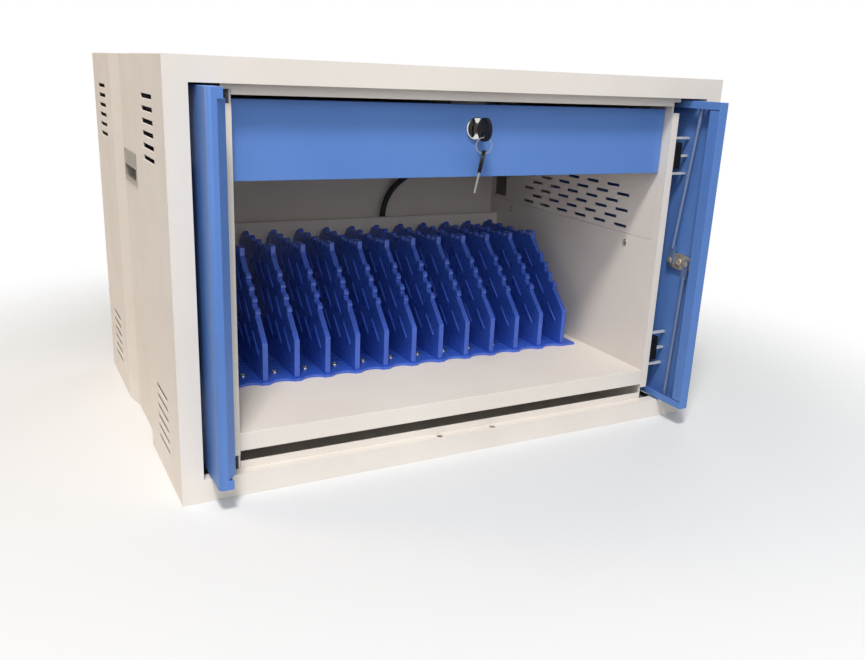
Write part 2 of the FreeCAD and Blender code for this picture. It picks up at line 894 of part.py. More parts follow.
def drawer_front():
    """The drawer's face with its folded edges and the lock's hole."""
    face = body()
    half = "(cabinet_width / 2 - wall_inset - drawer_side_gap)"
    across = ("-" + half, half)
    top = DRAWER_TOP
    pad(face, rectangle(sketch(face, "XZ", DRAWER_FACE), across, (DRAWER_FOOT, top)), "sheet", backwards=True)
    edge = sketch(face, "XZ", DRAWER_FACE)
    rectangle(edge, across, (DRAWER_FOOT, top))
    rectangle(edge, ("-%s + sheet" % half, half + " - sheet"), (DRAWER_FOOT + " + sheet", top + " - sheet"))
    pad(face, edge, "drawer_flange", backwards=True)
    pocket(face, circle(sketch(face, "XZ", DRAWER_FACE), ZERO, LOCK_HEIGHT, "barrel_radius"))
    return face


def drawer_tray():
    """An open tray behind the face, notched at the front to clear the lock."""
    half = "(cabinet_width / 2 - wall_inset - slide_width)"
    front = DRAWER_FACE + " + sheet"
    foot = DRAWER_FOOT + " + sheet + tray_lift"
    top = foot + " + tray_height"
    wall = "tray_sheet"
    outside = box(("-" + half, half), (front, front + " + tray_depth"), (foot, top))
    x = ("-%s + %s" % (half, wall), half + " - " + wall)
    y = (front + " + " + wall, front + " + tray_depth - " + wall)
    inside = box(x, y, (foot + " + " + wall, top + " + cut_overrun"))
    y = (front + " - cut_overrun", front + " + cut_overrun")
    z = (LOCK_HEIGHT + " - lock_notch_drop", top + " + cut_overrun")
    notch = box(("-lock_notch_half", "lock_notch_half"), y, z)
    return cut(outside, inside, notch)


def slide_member(web, reach, height):
    """A channel along the drawer's side: a web between two expressions and flanges to a third."""
    channel = body()
    middle = DRAWER_FOOT + " + slide_rise"
    low = "%s - (%s) / 2" % (middle, height)
    high = "%s + (%s) / 2" % (middle, height)
    wall, inside = web
    section = [
        (wall, low),
        (reach, low),
        (reach, low + " + slide_sheet"),
        (inside, low + " + slide_sheet"),
        (inside, high + " - slide_sheet"),
        (reach, high + " - slide_sheet"),
        (reach, high),
        (wall, high),
    ]
    drawing = outline(sketch(channel, "XZ", FRONT + " + slide_setback"), section)
    pad(channel, drawing, "slide_length", backwards=True)
    return channel


def drawer_slides():
    """Three nested channels each side: one on the wall, one between, one on the drawer."""
    gap = "running_gap"
    skin = "slide_sheet"
    reach = WALL + " + slide_flange"
    nest = " - 2 * (slide_sheet + running_gap)"
    middle_web = "%s + %s + %s" % (WALL, skin, gap)
    drawer_side = WALL + " + slide_width"
    members = {
        "slide_outer": ((WALL, WALL + " + " + skin), reach, "slide_height"),
        "slide_middle": ((middle_web, middle_web + " + " + skin), reach, "slide_height" + nest),
        "slide_inner": (
            (drawer_side, drawer_side + " - " + skin),
            "%s + %s + %s" % (middle_web, skin, gap),
            "slide_height" + nest + nest,
        ),
    }
    for name, sizes in members.items():
        left = node("left_" + name, slide_member(*sizes))
        node("right_" + name, mirror(left))


def lock_barrel():
    """The lock's round body with its bezel, turned in one profile and bored for the core."""
    barrel = body()
    drawing = sketch(barrel, "YZ", ZERO)
    bind(drawing, "AttachmentOffset.Base.y", LOCK_HEIGHT)
    face = DRAWER_FACE
    bore = "core_radius + core_gap"
    profile = [
        (face + " + barrel_length", bore),
        (face + " + barrel_length", "barrel_radius"),
        (face, "barrel_radius"),
        (face, "bezel_radius"),
        (face + " - bezel_depth + bezel_lip", "bezel_radius"),
        (face + " - bezel_depth", "bezel_radius - bezel_lip"),
        (face + " - bezel_depth", bore),
    ]
    revolve(barrel, outline(drawing, profile), "H_Axis")
    return barrel


def lock_core():
    """The turning core with its keyway and a tail for the cam."""
    face = DRAWER_FACE + " - bezel_depth + core_recess"
    length = "barrel_length + bezel_depth - core_recess"
    plug = cylinder("y", (ZERO, face, LOCK_HEIGHT), "core_radius", length)
    tail_start = DRAWER_FACE + " + barrel_length"
    tail = cylinder("y", (ZERO, tail_start, LOCK_HEIGHT), "core_tail_radius", "core_tail")
    half = "(key_blade_thickness / 2 + key_slot_gap)"
    tall = "(key_blade_width / 2 + key_slot_gap)"
    y = (face + " - cut_overrun", face + " + key_blade_depth + key_slot_gap")
    z = ("%s - %s" % (LOCK_HEIGHT, tall), "%s + %s" % (LOCK_HEIGHT, tall))
    return cut(fuse(plug, tail), box(("-" + half, half), y, z))


# Half of a hexagon's side and its half width across the flats, as shares of the corner radius
HEXAGON_SHARES = (0.5, 0.866)


def hexagon(drawing, across, up):
    """A nut's outline about a centre, with two corners on the level through it."""
    side, flat = HEXAGON_SHARES
    corners = [(1, 0), (side, flat), (-side, flat), (-1, 0), (-side, -flat), (side, -flat)]
    points = [("%s + %s * nut_radius" % (across, u), "%s + %s * nut_radius" % (up, v)) for u, v in corners]
    outline(drawing, points)
    return circle(drawing, across, up, "barrel_radius")


def lock_nut():
    nut = body()
    drawing = hexagon(sketch(nut, "XZ", DRAWER_FACE + " + sheet"), ZERO, LOCK_HEIGHT)
    pad(nut, drawing, "nut_depth", backwards=True)
    return nut


def lock_cam():
    """The cam on the core's tail. At rest it points sideways. A quarter turn brings it up behind the catch."""
    cam = body()
    half = "cam_width / 2"
    drawing = sketch(cam, "XZ", DRAWER_FACE + " + barrel_length")
    bevel = half + " / 2"
    plate = [
        ("-" + half, LOCK_HEIGHT + " - " + bevel),
        ("-" + bevel, LOCK_HEIGHT + " - " + half),
        ("cam_reach", LOCK_HEIGHT + " - " + half),
        ("cam_reach", LOCK_HEIGHT + " + " + half),
        ("-" + bevel, LOCK_HEIGHT + " + " + half),
        ("-" + half, LOCK_HEIGHT + " + " + bevel),
    ]
    outline(drawing, plate)
    circle(drawing, ZERO, LOCK_HEIGHT, "core_tail_radius")
    pad(cam, drawing, "cam_thickness", backwards=True)
    return cam


def lock_catch():
    """The angle under the top panel that the lock's cam turns up behind."""
    y1 = DRAWER_FACE + " + barrel_length - catch_gap"
    half = "catch_width / 2"
    top = "cabinet_height - sheet"
    plate = box(("-" + half, half), (y1 + " - sheet", y1), (top + " - catch_drop", top))
    foot = box(("-" + half, half), (y1 + " - catch_foot", y1), (top + " - sheet", top))
    return fuse(plate, foot)


def key_bow():
    """A round moulded bow in the plane of the key, with a hole for the ring and a socket for the blade."""
    bow = body()
    middle = DRAWER_FACE + " - bezel_depth - bow_standoff - bow_radius"
    drawing = sketch(bow, "YZ", ZERO)
    circle(drawing, middle, LOCK_HEIGHT, "bow_radius")
    circle(drawing, middle, LOCK_HEIGHT + " - bow_radius + bow_hole_inset", "bow_hole_radius")
    pad(bow, drawing, "bow_thickness", both=True)
    socket = sketch(bow, "XZ", middle + " + bow_radius - bow_socket")
    half = "key_blade_thickness / 2"
    tall = "key_blade_width / 2"
    rectangle(socket, ("-" + half, half), ("%s - %s" % (LOCK_HEIGHT, tall), "%s + %s" % (LOCK_HEIGHT, tall)))
    pocket(bow, socket, "bow_socket + cut_overrun")
    return bow


def key_blade():
    face = DRAWER_FACE + " - bezel_depth"
    half = "key_blade_thickness / 2"
    tall = "key_blade_width / 2"
    y = (face + " - bow_standoff - bow_socket", face + " + core_recess + key_blade_depth")
    return box(("-" + half, half), y, ("%s - %s" % (LOCK_HEIGHT, tall), "%s + %s" % (LOCK_HEIGHT, tall)))


RING_SLACK = "(bow_hole_radius - ring_wire - ring_seat_gap)"
RING_TOP = LOCK_HEIGHT + " - bow_radius + bow_hole_inset - " + RING_SLACK
BOW_MIDDLE = DRAWER_FACE + " - bezel_depth - bow_standoff - bow_radius"


def hang(item):
    """Turns a hanging piece about the upright line through the bow's middle."""
    item.Placement = Placement(Vector(), Rotation(Vector(0, 0, -1), 1))
    bind(item, "Placement.Rotation.Angle", "ring_turn_angle")
    bind(item, "Placement.Base.x", "-(%s) * sin(ring_turn_angle)" % BOW_MIDDLE)
    bind(item, "Placement.Base.y", "(%s) * (1 - cos(ring_turn_angle))" % BOW_MIDDLE)
    return item


def key_ring():
    """A ring of flattened wire that hangs through the bow's hole, askew to the bow."""
    ring = body()
    drawing = sketch(ring, "XZ", BOW_MIDDLE)
    circle(drawing, ZERO, RING_TOP + " - ring_radius", "ring_radius + ring_wire")
    circle(drawing, ZERO, RING_TOP + " - ring_radius", "ring_radius - ring_wire")
    pad(ring, drawing, "2 * ring_wire", both=True)
    return hang(ring)


SPARE_HOLE = RING_TOP + " - 2 * ring_radius - (bow_hole_radius - ring_wire - spare_seat_gap)"
SPARE_MIDDLE = SPARE_HOLE + " - bow_radius + bow_hole_inset"


def lean(item):
    """Leans the spare key over on the ring's wire, then turns it as the ring hangs."""
    foot = RING_TOP + " - 2 * ring_radius"
    item.Placement = Placement(Vector(), Rotation(Vector(0, 1, 0), 1))
    bind(item, "Placement.Rotation.Angle", "spare_lean_angle")
    bind(item, "Placement.Base.x", "-(%s) * sin(spare_lean_angle)" % foot)
    bind(item, "Placement.Base.z", "(%s) * (1 - cos(spare_lean_angle))" % foot)
    return hang(group(item))


def spare_bow():
    """The second key's bow, hanging from the ring with its blade down."""
    bow = body()
    drawing = sketch(bow, "YZ", ZERO)
    circle(drawing, BOW_MIDDLE, SPARE_MIDDLE, "bow_radius")
    circle(drawing, BOW_MIDDLE, SPARE_HOLE, "bow_hole_radius")
    pad(bow, drawing, "bow_thickness", both=True)
    socket = sketch(bow, "XY", SPARE_MIDDLE + " - bow_radius + bow_socket")
    half = "key_blade_thickness / 2"
    wide = "key_blade_width / 2"
    rectangle(socket, ("-" + half, half), ("%s - %s" % (BOW_MIDDLE, wide), "%s + %s" % (BOW_MIDDLE, wide)))
    pocket(bow, socket, "bow_socket + cut_overrun")
    return lean(bow)


def spare_blade():
    half = "key_blade_thickness / 2"
    wide = "key_blade_width / 2"
    top = SPARE_MIDDLE + " - bow_radius + bow_socket"
    y = ("%s - %s" % (BOW_MIDDLE, wide), "%s + %s" % (BOW_MIDDLE, wide))
    return lean(group(box(("-" + half, half), y, (top + " - bow_socket - spare_blade_length", top))))


def drawer():
    node("drawer_front", drawer_front())
    node("drawer_tray", drawer_tray())
    drawer_slides()
    node("lock_barrel", lock_barrel())
    node("lock_core", lock_core())
    node("lock_nut", lock_nut())
    node("lock_cam", lock_cam())
    node("lock_catch", lock_catch())
    node("key_bow", key_bow())
    node("key_blade", key_blade())
    node("key_ring", key_ring())
    node("spare_key_bow", spare_bow())
    node("spare_key_blade", spare_blade())


# The doors


def fold(middle, radius, z, turn):
    """A quarter-round fold of door sheet about an upright line, turned to its corner."""
    length = "%s - (%s)" % (z[1], z[0])
    bar = cylinder("z", middle + (z[0],), radius, length)
    bar.Angle = 90
    bar.Placement = Placement(Vector(), Rotation(Vector(0, 0, 1), turn))
    start = middle + (z[0] + " - cut_overrun",)
    return cut(bar, cylinder("z", start, radius + " - door_sheet", length + " + 2 * cut_overrun"))


def door_tray(edge, pull):
    """A left door from its free edge: a skin with a rounded fold, flanges on four edges, lips on the top
    and foot flanges, and a pull along the free edge that stops short of both ends."""
    skin = DOOR_SKIN
    inner = DOOR_SKIN + " + door_sheet"
    deep = DOOR_SKIN + " + door_flange"
    hinge = edge + " + door_width"
    full = ("door_foot", DOOR_TOP)
    bend = (skin + " + door_fold", edge + " + door_fold")
    front = (edge, edge + " + door_sheet")
    pieces = [
        box((skin, inner), (bend[1], hinge), full),
        box((inner, deep), (hinge + " - door_sheet", hinge), full),
        fold(bend, "door_fold", full, 180),
        box((bend[0], skin + " + door_front"), front, full),
        pull(edge),
    ]
    for level, up in ((full[0], True), (full[1], False)):
        sheet_rise, lip_rise, notch_rise = [
            (level, "%s + %s" % (level, reach)) if up else ("%s - %s" % (level, reach), level)
            for reach in ("door_sheet", "door_lip", "door_notch")
        ]
        pieces += [
            cylinder("z", bend + (sheet_rise[0],), "door_fold", "door_sheet"),
            box((skin, deep), (bend[1], hinge), sheet_rise),
            box((bend[0], deep), (edge, bend[1]), sheet_rise),
            box((deep + " - door_sheet", deep), (edge, hinge), lip_rise),
            box((skin + " + door_front", deep), front, notch_rise),
        ]
    start = (PIVOT_X, pivot_y(edge), "door_foot - cut_overrun")
    length = DOOR_TOP + " - door_foot + 2 * cut_overrun"
    return cut(fuse(*pieces), cylinder("z", start, "pin_radius + pin_gap", length))


def sloped_pull(edge):
    """The first door's pull: the front slopes back into a hem, which the other door's edge covers."""
    strip = body()
    x0 = DOOR_SKIN + " + door_front"
    x1 = x0 + " + door_slope"
    y1 = edge + " + door_slope_depth"
    section = [
        (x0, edge),
        (x1, y1),
        (x1, y1 + " + door_hem"),
        (x1 + " - door_sheet", y1 + " + door_hem"),
        (x1 + " - door_sheet", y1 + " + door_sheet / 2"),
        (x0, edge + " + door_sheet"),
    ]
    drawing = outline(sketch(strip, "XY", "door_foot + door_notch"), section)
    pad(strip, drawing, DOOR_TOP + " - door_foot - 2 * door_notch")
    return strip


def square_pull(edge):
    """The second door's pull: the front runs on flat and returns straight back."""
    x0 = DOOR_SKIN + " + door_front"
    x1 = DOOR_SKIN + " + door_flange"
    z = ("door_foot + door_notch", DOOR_TOP + " - door_notch")
    face = box((x0, x1), (edge, edge + " + door_sheet"), z)
    return fuse(face, box((x1 + " - door_sheet", x1), (edge, edge + " + door_return"), z))


PIVOT_X = DOOR_SKIN + " + door_flange / 2"


def pivot_y(edge):
    """The place of the pivots of the door that ends at an edge."""
    return edge + " + door_width - shoe_tail"


def pocket_rails():
    """The channels over and under a pocket that the pivot shoes run in."""
    half = "(rail_bore / 2)"
    x = (PIVOT_X + " - %s - rail_wall" % half, PIVOT_X + " + %s + rail_wall" % half)
    bore = (PIVOT_X + " - " + half, PIVOT_X + " + " + half)
    y = (FRONT + " + rail_start", FRONT + " + rail_start + rail_length")
    past = (y[0] + " - cut_overrun", y[1] + " + cut_overrun")
    foot = "sheet"
    lower = cut(
        box(x, y, (foot, foot + " + rail_height")),
        box(bore, past, (foot + " + rail_wall", foot + " + rail_height + cut_overrun")),
    )
    top = "cabinet_height - sheet"
    upper = cut(
        box(x, y, (top + " - rail_height", top)),
        box(bore, past, (top + " - rail_height - cut_overrun", top + " - rail_wall")),
    )
    return group(lower, upper)


def pivot_shoes(edge):
    """Blocks in the rails, each with a collar that carries the door and a pivot pin through its flange."""
    half = "(rail_bore / 2 - running_gap)"
    middle = pivot_y(edge)
    x = (PIVOT_X + " - " + half, PIVOT_X + " + " + half)
    y = (middle + " - shoe_length / 2", middle + " + shoe_length / 2")
    foot = "sheet + rail_wall + running_gap"
    block = box(x, y, (foot, foot + " + shoe_height"))
    level = foot + " + shoe_height"
    collar = cylinder("z", (PIVOT_X, middle, level), "collar_radius", "door_foot - (%s)" % level)
    pin = cylinder("z", (PIVOT_X, middle, level), "pin_radius", "door_foot - (%s) + pin_reach" % level)
    lower = fuse(block, collar, pin)
    top = "cabinet_height - sheet - rail_wall - running_gap"
    level = top + " - shoe_height"
    block = box(x, y, (level, top))
    door_top = DOOR_TOP
    collar = cylinder("z", (PIVOT_X, middle, door_top), "collar_radius", "%s - (%s)" % (level, door_top))
    start = (PIVOT_X, middle, door_top + " - pin_reach")
    pin = cylinder("z", start, "pin_radius", "%s - (%s) + pin_reach" % (level, door_top))
    upper = fuse(block, collar, pin)
    return group(lower, upper)


GUIDE_LEVELS = ("guide_lower", "cabinet_height - guide_upper_drop")


POST = WALL + " - post_width"
POST_FACE = FRONT + " + jamb_depth - sheet"


def guide_blocks():
    """Black blocks beside the post at the pocket's mouth."""
    x = (POST + " - guide_width", POST)
    y = (POST_FACE, POST_FACE + " + guide_depth")
    half = "guide_height / 2"
    return group(*[box(x, y, ("%s - %s" % (level, half), "%s + %s" % (level, half))) for level in GUIDE_LEVELS])


def guide_fingers():
    """Flat steel fingers that reach into the door's tray and keep its skin in line as it slides. Those
    above and below a block start at the post, and one that meets the block starts at the block's face."""
    tip = DOOR_SKIN + " + door_sheet + finger_tip_gap"
    y = (POST_FACE, POST_FACE + " + finger_width")
    count = int(size("finger_count"))
    fingers = []
    for level in GUIDE_LEVELS:
        for i in range(count):
            place = i - (count - 1) / 2
            meets = abs(place) * size("finger_pitch") < size("guide_height") / 2
            root = POST + " - guide_width" if meets else POST
            z = "%s + (%d - (finger_count - 1) / 2) * finger_pitch" % (level, i)
            fingers.append(box((tip, root), y, (z + " - finger_thickness / 2", z + " + finger_thickness / 2")))
    return group(*fingers)


# The rod lock on the right door

RIGHT_SKIN = "cabinet_width / 2 - door_inset"
ROD_Y = FRONT + " - rod_lock_forward"
ROD_Z = "rod_lock_height"
CLAMP_FACE = RIGHT_SKIN + " - door_sheet - clamp_nut_depth"
CRANK_FACE = CLAMP_FACE + " - running_gap - crank_thickness"
ROD_X = CRANK_FACE + " - rod_flat_gap - rod_flat_thickness / 2"


def rod_lock_barrel():
    """The lock's body in the door's skin, with its bezel outside."""
    barrel = body()
    drawing = sketch(barrel, "XY", ROD_Z)
    bind(drawing, "AttachmentOffset.Base.y", ROD_Y)
    bore = "core_radius + core_gap"
    profile = [
        (CLAMP_FACE, bore),
        (CLAMP_FACE, "barrel_radius"),
        (RIGHT_SKIN, "barrel_radius"),
        (RIGHT_SKIN, "bezel_radius"),
        (RIGHT_SKIN + " + bezel_depth - bezel_lip", "bezel_radius"),
        (RIGHT_SKIN + " + bezel_depth", "bezel_radius - bezel_lip"),
        (RIGHT_SKIN + " + bezel_depth", bore),
    ]
    revolve(barrel, outline(drawing, profile), "H_Axis")
    return barrel


def rod_lock_nut():
    nut = body()
    pad(nut, hexagon(sketch(nut, "YZ", CLAMP_FACE), ROD_Y, ROD_Z), "clamp_nut_depth")
    return nut


def rod_lock_core():
    """The core with its keyway outside and a tail inside that holds the crank."""
    face = RIGHT_SKIN + " + bezel_depth - core_recess"
    root = CLAMP_FACE + " - running_gap"
    plug = cylinder("x", (root, ROD_Y, ROD_Z), "core_radius", "%s - (%s)" % (face, root))
    tail_length = "crank_thickness + rod_flat_gap"
    tail = cylinder("x", (CRANK_FACE + " - rod_flat_gap", ROD_Y, ROD_Z), "core_tail_radius", tail_length)
    half = "(key_blade_thickness / 2 + key_slot_gap)"
    tall = "(key_blade_width / 2 + key_slot_gap)"
    y = ("%s - %s" % (ROD_Y, half), "%s + %s" % (ROD_Y, half))
    z = ("%s - %s" % (ROD_Z, tall), "%s + %s" % (ROD_Z, tall))
    return cut(fuse(plug, tail), box((face + " - bezel_depth", face + " + cut_overrun"), y, z))


def rod_crank():
    """The crank on the core's tail, with a pin near each end for the rods."""
    crank = body()
    reach = "(crank_radius + crank_end)"
    end = "crank_end"
    bevel = "crank_end / 2"
    y0 = "%s - %s" % (ROD_Y, reach)
    y1 = "%s + %s" % (ROD_Y, reach)
    plate = [
        (y0, ROD_Z + " - " + bevel),
        (y0 + " + " + bevel, ROD_Z + " - " + end),
        (ROD_Y + " - crank_hub / 2", ROD_Z + " - crank_hub"),
        (ROD_Y + " + crank_hub / 2", ROD_Z + " - crank_hub"),
        (y1 + " - " + bevel, ROD_Z + " - " + end),
        (y1, ROD_Z + " - " + bevel),
        (y1, ROD_Z + " + " + bevel),
        (y1 + " - " + bevel, ROD_Z + " + " + end),
        (ROD_Y + " + crank_hub / 2", ROD_Z + " + crank_hub"),
        (ROD_Y + " - crank_hub / 2", ROD_Z + " + crank_hub"),
        (y0 + " + " + bevel, ROD_Z + " + " + end),
        (y0, ROD_Z + " + " + bevel),
    ]
    drawing = outline(sketch(crank, "YZ", CRANK_FACE), plate)
    circle(drawing, ROD_Y, ROD_Z, "core_tail_radius")
    pad(crank, drawing, "crank_thickness")
    pins = sketch(crank, "YZ", CRANK_FACE)
    for sign in ("-", "+"):
        circle(pins, "%s %s crank_radius" % (ROD_Y, sign), ROD_Z, "crank_pin_radius")
    pad(crank, pins, "crank_pin_reach", backwards=True)
    return crank


def lock_rod(sign, pin_y, guide_y, end_z):
    """A rod from a crank pin to its guide in the door's flange: a flat eye, then a round bar. It is drawn
    upright about its pin and leaned over to reach the guide."""
    rod = body()
    wide = "rod_flat_width / 2"
    far = "%d * rod_flat_length" % sign
    flat = sketch(rod, "YZ", "-rod_flat_thickness / 2")
    heel = "%d * %s" % (-sign, wide)
    rectangle(flat, ("-" + wide, wide), (heel, far) if sign > 0 else (far, heel))
    circle(flat, ZERO, ZERO, "crank_pin_radius + pin_gap")
    pad(rod, flat, "rod_flat_thickness")
    length = "sqrt((%s - (%s)) ^ 2 + (%s - %s) ^ 2)" % (guide_y, pin_y, end_z, ROD_Z)
    start = "%d * (rod_flat_length - rod_flat_width / 2)" % sign
    bar = circle(sketch(rod, "XY", start), ZERO, ZERO, "rod_radius")
    pad(rod, bar, "%s - rod_flat_length + rod_flat_width / 2" % length, backwards=sign < 0)
    rod.Placement = Placement(Vector(), Rotation(Vector(1, 0, 0), 1))
    bind(rod, "Placement.Base.x", ROD_X)
    bind(rod, "Placement.Base.y", pin_y)
    bind(rod, "Placement.Base.z", ROD_Z)
    bind(rod, "Placement.Rotation.Angle", "atan((%s - (%s)) / (%s - %s))" % (pin_y, guide_y, end_z, ROD_Z))
    return rod


def rod_lock():
    node("rod_lock_barrel", rod_lock_barrel())
    node("rod_lock_nut", rod_lock_nut())
    node("rod_lock_core", rod_lock_core())
    node("rod_crank", rod_crank())
    top = DOOR_TOP + " - rod_end_drop"
    foot = "door_foot + rod_end_drop"
    upper_guide = FRONT + " - upper_guide_forward"
    lower_guide = FRONT + " - lower_guide_forward"
    node("upper_rod", lock_rod(1, ROD_Y + " + crank_radius", upper_guide, "(%s)" % top))
    node("lower_rod", lock_rod(-1, ROD_Y + " - crank_radius", lower_guide, "(%s)" % foot))


def right_door(blank):
    """The right door's tray, cut for its lock and its rods."""
    through = "door_sheet + clamp_nut_depth + cut_overrun"
    lock = cylinder("x", (CLAMP_FACE, ROD_Y, ROD_Z), "barrel_radius", through)
    x = (ROD_X + " - rod_radius - running_gap", ROD_X + " + rod_radius + running_gap")
    room = "(rod_radius + rod_slot_room)"
    cuts = [lock]
    for level, guide, back in (
        (DOOR_TOP, "upper_guide_forward", "rod_slot_room"),
        ("door_foot", "lower_guide_forward", ZERO),
    ):
        middle = "%s - %s" % (FRONT, guide)
        y = ("%s - %s" % (middle, room), "%s + %s + %s" % (middle, room, back))
        cuts.append(box(x, y, (level + " - door_sheet - running_gap", level + " + door_sheet + running_gap")))
    return cut(blank, *cuts)


# The shoot bolts on the left door

BOLT_X = DOOR_SKIN + " + bolt_inset"
BOLT_Y = FRONT + " - bolt_forward"


def shoot_bolt(low, knob):
    """A round bolt with a finger knob."""
    bar = cylinder("z", (BOLT_X, BOLT_Y, low), "bolt_radius", "bolt_length")
    return fuse(bar, cylinder("x", (BOLT_X, BOLT_Y, knob), "bolt_knob_radius", "bolt_knob_reach"))


def bolt_guides():
    """Bored blocks on the door's skin that the bolts slide in."""
    half = "bolt_guide_width / 2"
    x = (DOOR_SKIN + " + door_sheet", DOOR_SKIN + " + door_flange - door_sheet - running_gap")
    y = ("%s - %s" % (BOLT_Y, half), "%s + %s" % (BOLT_Y, half))
    blocks = []
    top = DOOR_TOP + " - bolt_guide_lead"
    for low in (
        "door_foot + bolt_guide_lead",
        "door_foot + bolt_guide_lead + bolt_guide_pitch",
        top + " - bolt_guide_height",
        top + " - bolt_guide_height - bolt_guide_pitch",
    ):
        block = box(x, y, (low, low + " + bolt_guide_height"))
        start = (BOLT_X, BOLT_Y, low + " - cut_overrun")
        bore = cylinder("z", start, "bolt_radius + bolt_gap", "bolt_guide_height + 2 * cut_overrun")
        blocks.append(cut(block, bore))
    return group(*blocks)


def shoot_bolts():
    end = "rod_end_drop"
    low = "door_foot + " + end
    middle = "bolt_guide_lead + (bolt_guide_pitch + bolt_guide_height) / 2"
    node("lower_bolt", shoot_bolt(low, "door_foot + %s + bolt_travel / 2" % middle))
    high = "%s - %s - bolt_length" % (DOOR_TOP, end)
    node("upper_bolt", shoot_bolt(high, "%s - (%s) - bolt_travel / 2" % (DOOR_TOP, middle)))
    node("bolt_guides", bolt_guides())


def left_door(blank):
    """The left door's tray, cut for its bolts."""
    holes = []
    for level in ("door_foot", DOOR_TOP):
        start = (BOLT_X, BOLT_Y, level + " - door_sheet - running_gap")
        holes.append(cylinder("z", start, "bolt_radius + running_gap", "2 * (door_sheet + running_gap)"))
    return cut(blank, *holes)


def doors():
    node("left_door", left_door(door_tray(LEFT_EDGE, sloped_pull)))
    node("right_door", right_door(mirror(door_tray(RIGHT_EDGE, square_pull))))
    node("left_pivot_shoes", pivot_shoes(LEFT_EDGE))
    node("right_pivot_shoes", mirror(pivot_shoes(RIGHT_EDGE)))
    for name, piece in (
        ("pocket_rails", pocket_rails()),
        ("guide_blocks", guide_blocks()),
        ("guide_fingers", guide_fingers()),
    ):
        left = node("left_" + name, piece)
        node("right_" + name, mirror(left))
    rod_lock()
    shoot_bolts()


# The power strip, the inlet and the cable


def power_strip():
    """A strip of outlets on the wall behind the drawer."""
    strip = body()
    half = "strip_length / 2"
    face = FRONT + " + back_setback - strip_depth"
    across = ("strip_shift - " + half, "strip_shift + " + half)
    up = (STRIP_FOOT, STRIP_FOOT + " + strip_height")
    pad(strip, rectangle(sketch(strip, "XZ", face), across, up), "strip_depth", backwards=True)
    first = "strip_shift - (outlet_count - 1) * outlet_pitch / 2"
    middle = STRIP_FOOT + " + strip_height / 2"
    across = (first + " - outlet_width / 2", first + " + outlet_width / 2")
    up = (middle + " - outlet_height / 2", middle + " + outlet_height / 2")
    drawing = rectangle(sketch(strip, "XZ", face), across, up)
    outlet = pocket(strip, drawing, "outlet_depth")
    repeat(strip, outlet, drawing, "outlet_count", "outlet_pitch")
    return strip


def power_inlet():
    """A three-blade inlet in the back panel, with a rim outside and a body inside."""
    inlet = body()
    face = BACK
    x0, x1 = "inlet_shift - inlet_width / 2", "inlet_shift + inlet_width / 2"
    z0, z1 = "inlet_rise - inlet_height / 2", "inlet_rise + inlet_height / 2"
    rim = sketch(inlet, "XZ", face + " + inlet_rim_depth")
    rise = (z0 + " - inlet_rim / 2", z1 + " + inlet_rim / 2")
    rectangle(rim, (x0 + " - inlet_rim", x1 + " + inlet_rim"), rise)
    pad(inlet, rim, "inlet_rim_depth")
    pad(inlet, rectangle(sketch(inlet, "XZ", face), (x0, x1), (z0, z1)), "inlet_depth")
    wall = "inlet_wall"
    across = (x0 + " + " + wall, x1 + " - " + wall)
    cavity = sketch(inlet, "XZ", face + " + inlet_rim_depth")
    rectangle(cavity, across, (z0 + " + " + wall, z1 + " - " + wall))
    pocket(inlet, cavity, "inlet_cavity + inlet_rim_depth", backwards=True)
    blades = sketch(inlet, "XZ", face + " - inlet_cavity")
    half = "inlet_blade_thickness / 2"
    for place in (-1, 0, 1):
        x = "inlet_shift + %d * inlet_blade_pitch" % place
        up = ("inlet_rise - inlet_blade_width / 2", "inlet_rise + inlet_blade_width / 2")
        rectangle(blades, (x + " - " + half, x + " + " + half), up)
    pad(inlet, blades, "inlet_cavity - inlet_wall", backwards=True)
    return inlet


def tube(label, points, radius):
    """A round tube along straight runs joined by tangent arcs, each as large as its runs allow."""
    points = [Vector(*point) for point in points]
    edges = []
    radii = []
    start = points[0]
    for before, corner, after in zip(points, points[1:], points[2:]):
        run_in = (before - corner).normalize()
        run_out = (after - corner).normalize()
        half_turn = (math.pi - run_in.getAngle(run_out)) / 2
        setback = ARC_SHARE * min((before - corner).Length, (after - corner).Length)
        radii.append(setback / math.tan(half_turn))
        bisector = (run_in + run_out).normalize()
        enter = corner + run_in * setback
        leave = corner + run_out * setback
        middle = corner + bisector * (radii[-1] * (1 / math.cos(half_turn) - 1))
        edges.append(Part.LineSegment(start, enter).toShape())
        edges.append(Part.Arc(enter, middle, leave).toShape())
        start = leave
    edges.append(Part.LineSegment(start, points[-1]).toShape())
    path = Part.Wire(edges)
    ring = Part.makeCircle(radius, points[0], points[1] - points[0])
    corners = ring.discretize(CABLE_SIDES + 1)
    section = Part.makePolygon(corners[:-1] + corners[:1])
    feature = doc.addObject("Part::Feature", label)
    feature.Shape = path.makePipeShell([section], True, False)
    side = 2 * math.pi / CABLE_SIDES
    expected = CABLE_SIDES / 2 * radius * radius * math.sin(side) * path.Length
    print(label, "length", round(path.Length, 1), "least radius", round(min(radii), 1))
    print(label, "volume ratio", round(feature.Shape.Volume / expected, 4))
    return node(label, feature)


def power():
    node("power_strip", power_strip())
    node("power_inlet", power_inlet())
    tube("power_cable", CABLE_ROUTE, size("cable_radius"))


def write_parts():
    """Checks every sub-part, then writes one file for each."""
    settle()
    for label, item in nodes.items():
        if item.Shape.isNull() or not item.Shape.isValid() or not item.Shape.Solids:
            raise RuntimeError("%s has no valid solid" % label)
    os.makedirs("parts", exist_ok=True)
    for label, item in nodes.items():
        item.Shape.exportStep(os.path.join("parts", label + ".step"))
    print(len(nodes), "sub-parts,", sum(len(item.Shape.Solids) for item in nodes.values()), "solids")


outer_case()
inner_box()
dividers()
drawer()
doors()
power()
write_parts()
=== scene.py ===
import json
import math

import bpy
import numpy as np
from mathutils import Matrix


